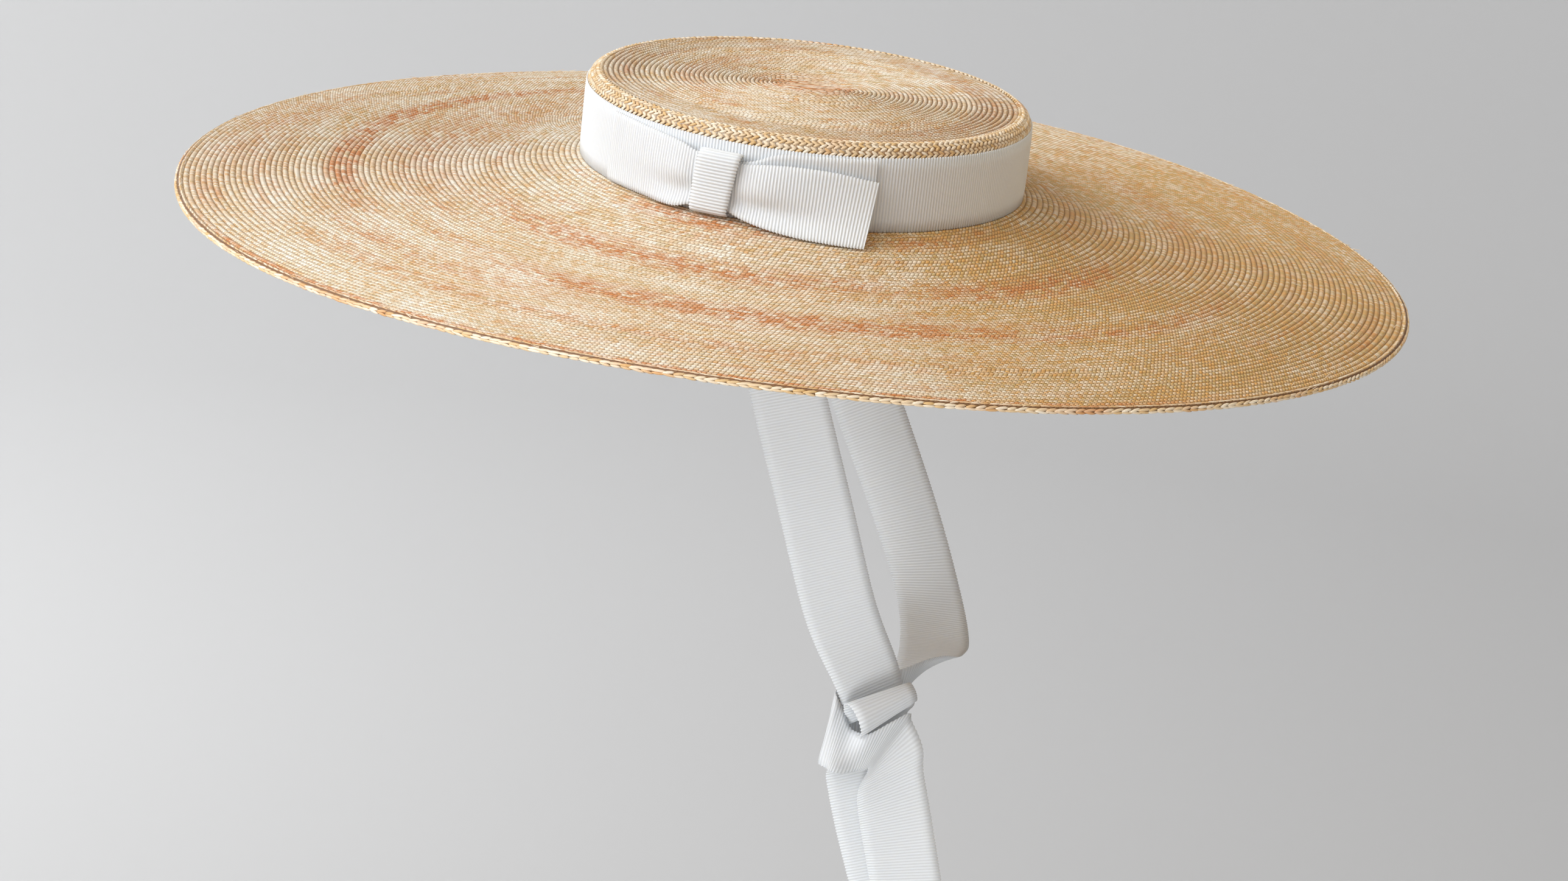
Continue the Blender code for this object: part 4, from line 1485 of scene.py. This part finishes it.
def tail_rows(table):
    centre = knot_centre()
    rows = []
    for forward, inward, down, x, y, z, width in table:
        place = centre + Vector((forward * TAIL_DROP, inward * LAYER, -down * TAIL_DROP))
        rows.append(tuple(place) + (x, y, z, width, 0.0))
    return rows


def chin_points(row):
    """Points across a chin ribbon, bent across where it lies on the round wall."""
    wall_bend = (RIBBON_WIDTH / 2) ** 2 / (2 * SEWN_RADIUS)
    centre = Vector(row[:3])
    across = Vector(row[3:6]).normalized()
    half = RIBBON_WIDTH / 2 * row[6]
    points = []
    for k in range(9):
        j = k / 4 - 1
        point = centre + across * half * j
        point.y += row[7] * wall_bend * j * j
        points.append(tuple(point))
    return points


def chin_sheet(name, stations, nodes):
    dense = smooth_rows(stations, 24)
    even, length = even_rows(dense, lambda row: row[:3])
    piece = woven(name, [chin_points(tuple(float(v) for v in row)) for row in even], relief_share=0.25)
    declare_ribbon(piece, nodes)


class BOATER_OT_chin_ribbons(bpy.types.Operator):
    """Weaves the two chin ribbons with the half knot that they make together"""

    bl_idname = "boater.chin_ribbons"
    bl_label = "Chin ribbons"

    def execute(self, context):
        near_knot = knot_rows(RIGHT_KNOT_IN + roll_table() + RIGHT_KNOT_OUT)
        near = sewn_rows(-1) + strap_rows(RIGHT_STRAP) + near_knot + tail_rows(RIGHT_TAIL)
        chin_sheet("ribbon_chin_right", near, ["chin_ribbon_right"])
        far = sewn_rows(1) + strap_rows(LEFT_STRAP) + knot_rows(LEFT_KNOT) + tail_rows(LEFT_TAIL)
        chin_sheet("ribbon_chin_left", far, ["chin_ribbon_left"])
        return {"FINISHED"}


# how far the stitches lie off the middle of the ribbon
STITCH_LIFT = 0.42


class BOATER_OT_stitches(bpy.types.Operator):
    """Sews the chin ribbons' ends to the crown's wall"""

    bl_idname = "boater.stitches"
    bl_label = "Stitches"

    def execute(self, context):
        seams = PlaitLines()
        for side in (-1, 1):
            stations = smooth_rows(sewn_rows(side), 8)
            # shares of the way down the sewn end
            for share in (0.06, 0.62):
                row = chin_points(stations[round(share * (len(stations) - 1))])
                line = []
                for point in smooth_rows(row, 4)[2:-2]:
                    inward = Vector((-point[0], -point[1], 0.0)).normalized()
                    line.append((Vector(point) + inward * STITCH_LIFT, inward))
                seams.add_line(line, 0.35)
        piece = seams.laid("ribbon_stitches", {
            "Pitch": 0.0026, "Length": 0.0019, "Width": 0.00045, "Height": 0.0004, "Jitter": 0.1,
            "Seed": 3, "Material": material("sewing_thread", fill_thread),
        })
        finish_piece(piece)
        return {"FINISHED"}


# the floor's flat part, the bend up to the backdrop and the backdrop's top, in metres
FLOOR_REACH = 6.5
FLOOR_BEND = 3.0
BACKDROP_TOP = 6.0

# area lights: places, aims and sizes in metres
LIGHTS = [
    # name, place, aim, width, height, power, colour
    ("window_left", (-1.3, -0.6, 0.85), (0.0, 0.0, -0.03), 1.5, 1.5, 28.4, (0.95, 0.975, 1.0)),
    ("warm_right", (0.75, -0.1, 0.7), (0.9, 0.0, 0.0), 0.5, 0.5, 2.2, (1.0, 0.74, 0.30)),
    ("front_soft", (-0.2, -2.2, 0.9), (0.0, -0.1, 0.0), 1.6, 1.6, 8.8, (0.96, 0.98, 1.0)),
    ("fill_low", (-1.0, -3.6, -1.6), (0.03, -0.05, -0.2), 1.8, 1.4, 74.0, (1.0, 0.995, 0.99)),
    ("wash_left", (-3.5, 3.0, 2.0), (-4.0, 7.8, -1.2), 3.0, 3.0, 325.0, (1.0, 1.0, 1.0)),
]

# the camera: place in metres, lens in millimetres, and degrees turned to the right, looking down, rolled
CAMERA_PLACE = (0.00012, -1.53037, 0.38698)
CAMERA_LENS = 89.4165
CAMERA_TURN = 0.1928
CAMERA_FALL = 18.170
CAMERA_ROLL = 6.5421


def build_floor(drop):
    profile = [(0.0, 0.0), (3.0, 0.0), (FLOOR_REACH, 0.0)]
    for i in range(1, 13):
        a = math.pi / 2 * i / 12
        profile.append((FLOOR_REACH + FLOOR_BEND * math.sin(a), FLOOR_BEND - FLOOR_BEND * math.cos(a)))
    profile.append((FLOOR_REACH + FLOOR_BEND, BACKDROP_TOP))
    bm = bmesh.new()
    made = [bm.verts.new((r, 0.0, z - drop)) for r, z in profile]
    line = [bm.edges.new(pair) for pair in zip(made, made[1:])]
    bmesh.ops.spin(
        bm, geom=made + line, cent=(0, 0, 0), axis=(0, 0, 1), angle=math.tau, steps=96,
        use_merge=True, use_duplicate=False,
    )
    bmesh.ops.remove_doubles(bm, verts=bm.verts, dist=1e-5)
    bmesh.ops.recalc_face_normals(bm, faces=bm.faces)
    bm.normal_update()
    if bm.faces[:][0].normal.z < 0:
        bmesh.ops.reverse_faces(bm, faces=bm.faces)
    mesh = bpy.data.meshes.new("studio_floor")
    bm.to_mesh(mesh)
    bm.free()
    mesh.shade_smooth()
    mesh.materials.append(material("pale_backdrop", fill_backdrop))
    add_object("studio_floor", mesh)


def build_world(scene):
    world = bpy.data.worlds.new("soft_room")
    scene.world = world
    world.use_nodes = True
    room = world.node_tree
    background = room.nodes["Background"]
    way = node(room, "ShaderNodeTexCoord").outputs["Generated"]
    side = parts(room, way)[0]
    right_share = spread(room, side, -1.0, 1.0)
    cool = (0.97, 0.985, 1.0, 1.0)
    warm = (1.0, 0.80, 0.60, 1.0)
    feed(room, background, {
        "Color": blend(room, right_share, cool, warm),
        "Strength": spread(room, side, -1.0, 1.0, 1.05, 0.10),
    })


def build_lights():
    for name, place, aim, width, height, power, colour in LIGHTS:
        data = bpy.data.lights.new(name, "AREA")
        data.shape = "RECTANGLE"
        data.size = width
        data.size_y = height
        data.energy = power
        data.color = colour
        lamp = add_object(name, data)
        lamp.location = place
        lamp.rotation_mode = "QUATERNION"
        lamp.rotation_quaternion = (Vector(aim) - Vector(place)).to_track_quat("-Z", "Y")


def build_camera(scene):
    data = bpy.data.cameras.new("photo_camera")
    data.sensor_width = 36.0
    data.lens = CAMERA_LENS
    data.clip_start = 0.05
    data.clip_end = 60.0
    camera = add_object("photo_camera", data)
    azimuth = math.radians(CAMERA_TURN)
    fall = math.radians(CAMERA_FALL)
    roll = math.radians(CAMERA_ROLL)
    ahead = Vector((
        math.sin(azimuth) * math.cos(fall), math.cos(azimuth) * math.cos(fall), -math.sin(fall),
    ))
    right = Vector((math.cos(azimuth), -math.sin(azimuth), 0.0))
    up = right.cross(ahead)
    across = right * math.cos(roll) + up * math.sin(roll)
    above = up * math.cos(roll) - right * math.sin(roll)
    turn = Matrix((across, above, -ahead)).transposed()
    camera.matrix_world = Matrix.Translation(CAMERA_PLACE) @ turn.to_4x4()
    scene.camera = camera


class BOATER_OT_stage(bpy.types.Operator):
    """Sets the pale floor and backdrop, the soft light from the left and the camera"""

    bl_idname = "boater.stage"
    bl_label = "Stage"

    def execute(self, context):
        scene = context.scene
        build_floor(scene.boater_stage.floor_drop)
        build_world(scene)
        build_lights()
        build_camera(scene)
        scene.view_settings.view_transform = "Standard"
        return {"FINISHED"}


class BOATER_PT_panel(bpy.types.Panel):
    """Sizes, colours and building steps of the boater hat"""

    bl_idname = "BOATER_PT_panel"
    bl_label = "Boater hat"
    bl_space_type = "VIEW_3D"
    bl_region_type = "UI"
    bl_category = "Boater hat"

    def draw(self, context):
        for title, group in GROUPS.items():
            box = self.layout.box()
            for key in group.__annotations__:
                box.prop(getattr(context.scene, title), key)
        for step in STEPS:
            self.layout.operator(step.bl_idname)


STEPS = (
    BOATER_OT_brim,
    BOATER_OT_brim_edge,
    BOATER_OT_crown,
    BOATER_OT_crown_plaits,
    BOATER_OT_straw_ends,
    BOATER_OT_band,
    BOATER_OT_bow,
    BOATER_OT_chin_ribbons,
    BOATER_OT_stitches,
    BOATER_OT_stage,
)
GROUPS = {"boater_straw": BoaterStraw, "boater_ribbon": BoaterRibbon, "boater_stage": BoaterStage}
CLASSES = tuple(GROUPS.values()) + STEPS + (BOATER_PT_panel,)


def register():
    for kind in CLASSES:
        bpy.utils.register_class(kind)
    for title, group in GROUPS.items():
        setattr(bpy.types.Scene, title, bpy.props.PointerProperty(type=group))


def unregister():
    for title in GROUPS:
        delattr(bpy.types.Scene, title)
    for kind in reversed(CLASSES):
        bpy.utils.unregister_class(kind)


def main():
    register()
    bpy.ops.boater.brim()
    bpy.ops.boater.brim_edge()
    bpy.ops.boater.crown()
    bpy.ops.boater.crown_plaits()
    bpy.ops.boater.straw_ends()
    bpy.ops.boater.band()
    bpy.ops.boater.bow()
    bpy.ops.boater.chin_ribbons()
    bpy.ops.boater.stitches()
    bpy.ops.boater.stage()


if __name__ == "__main__":
    main()
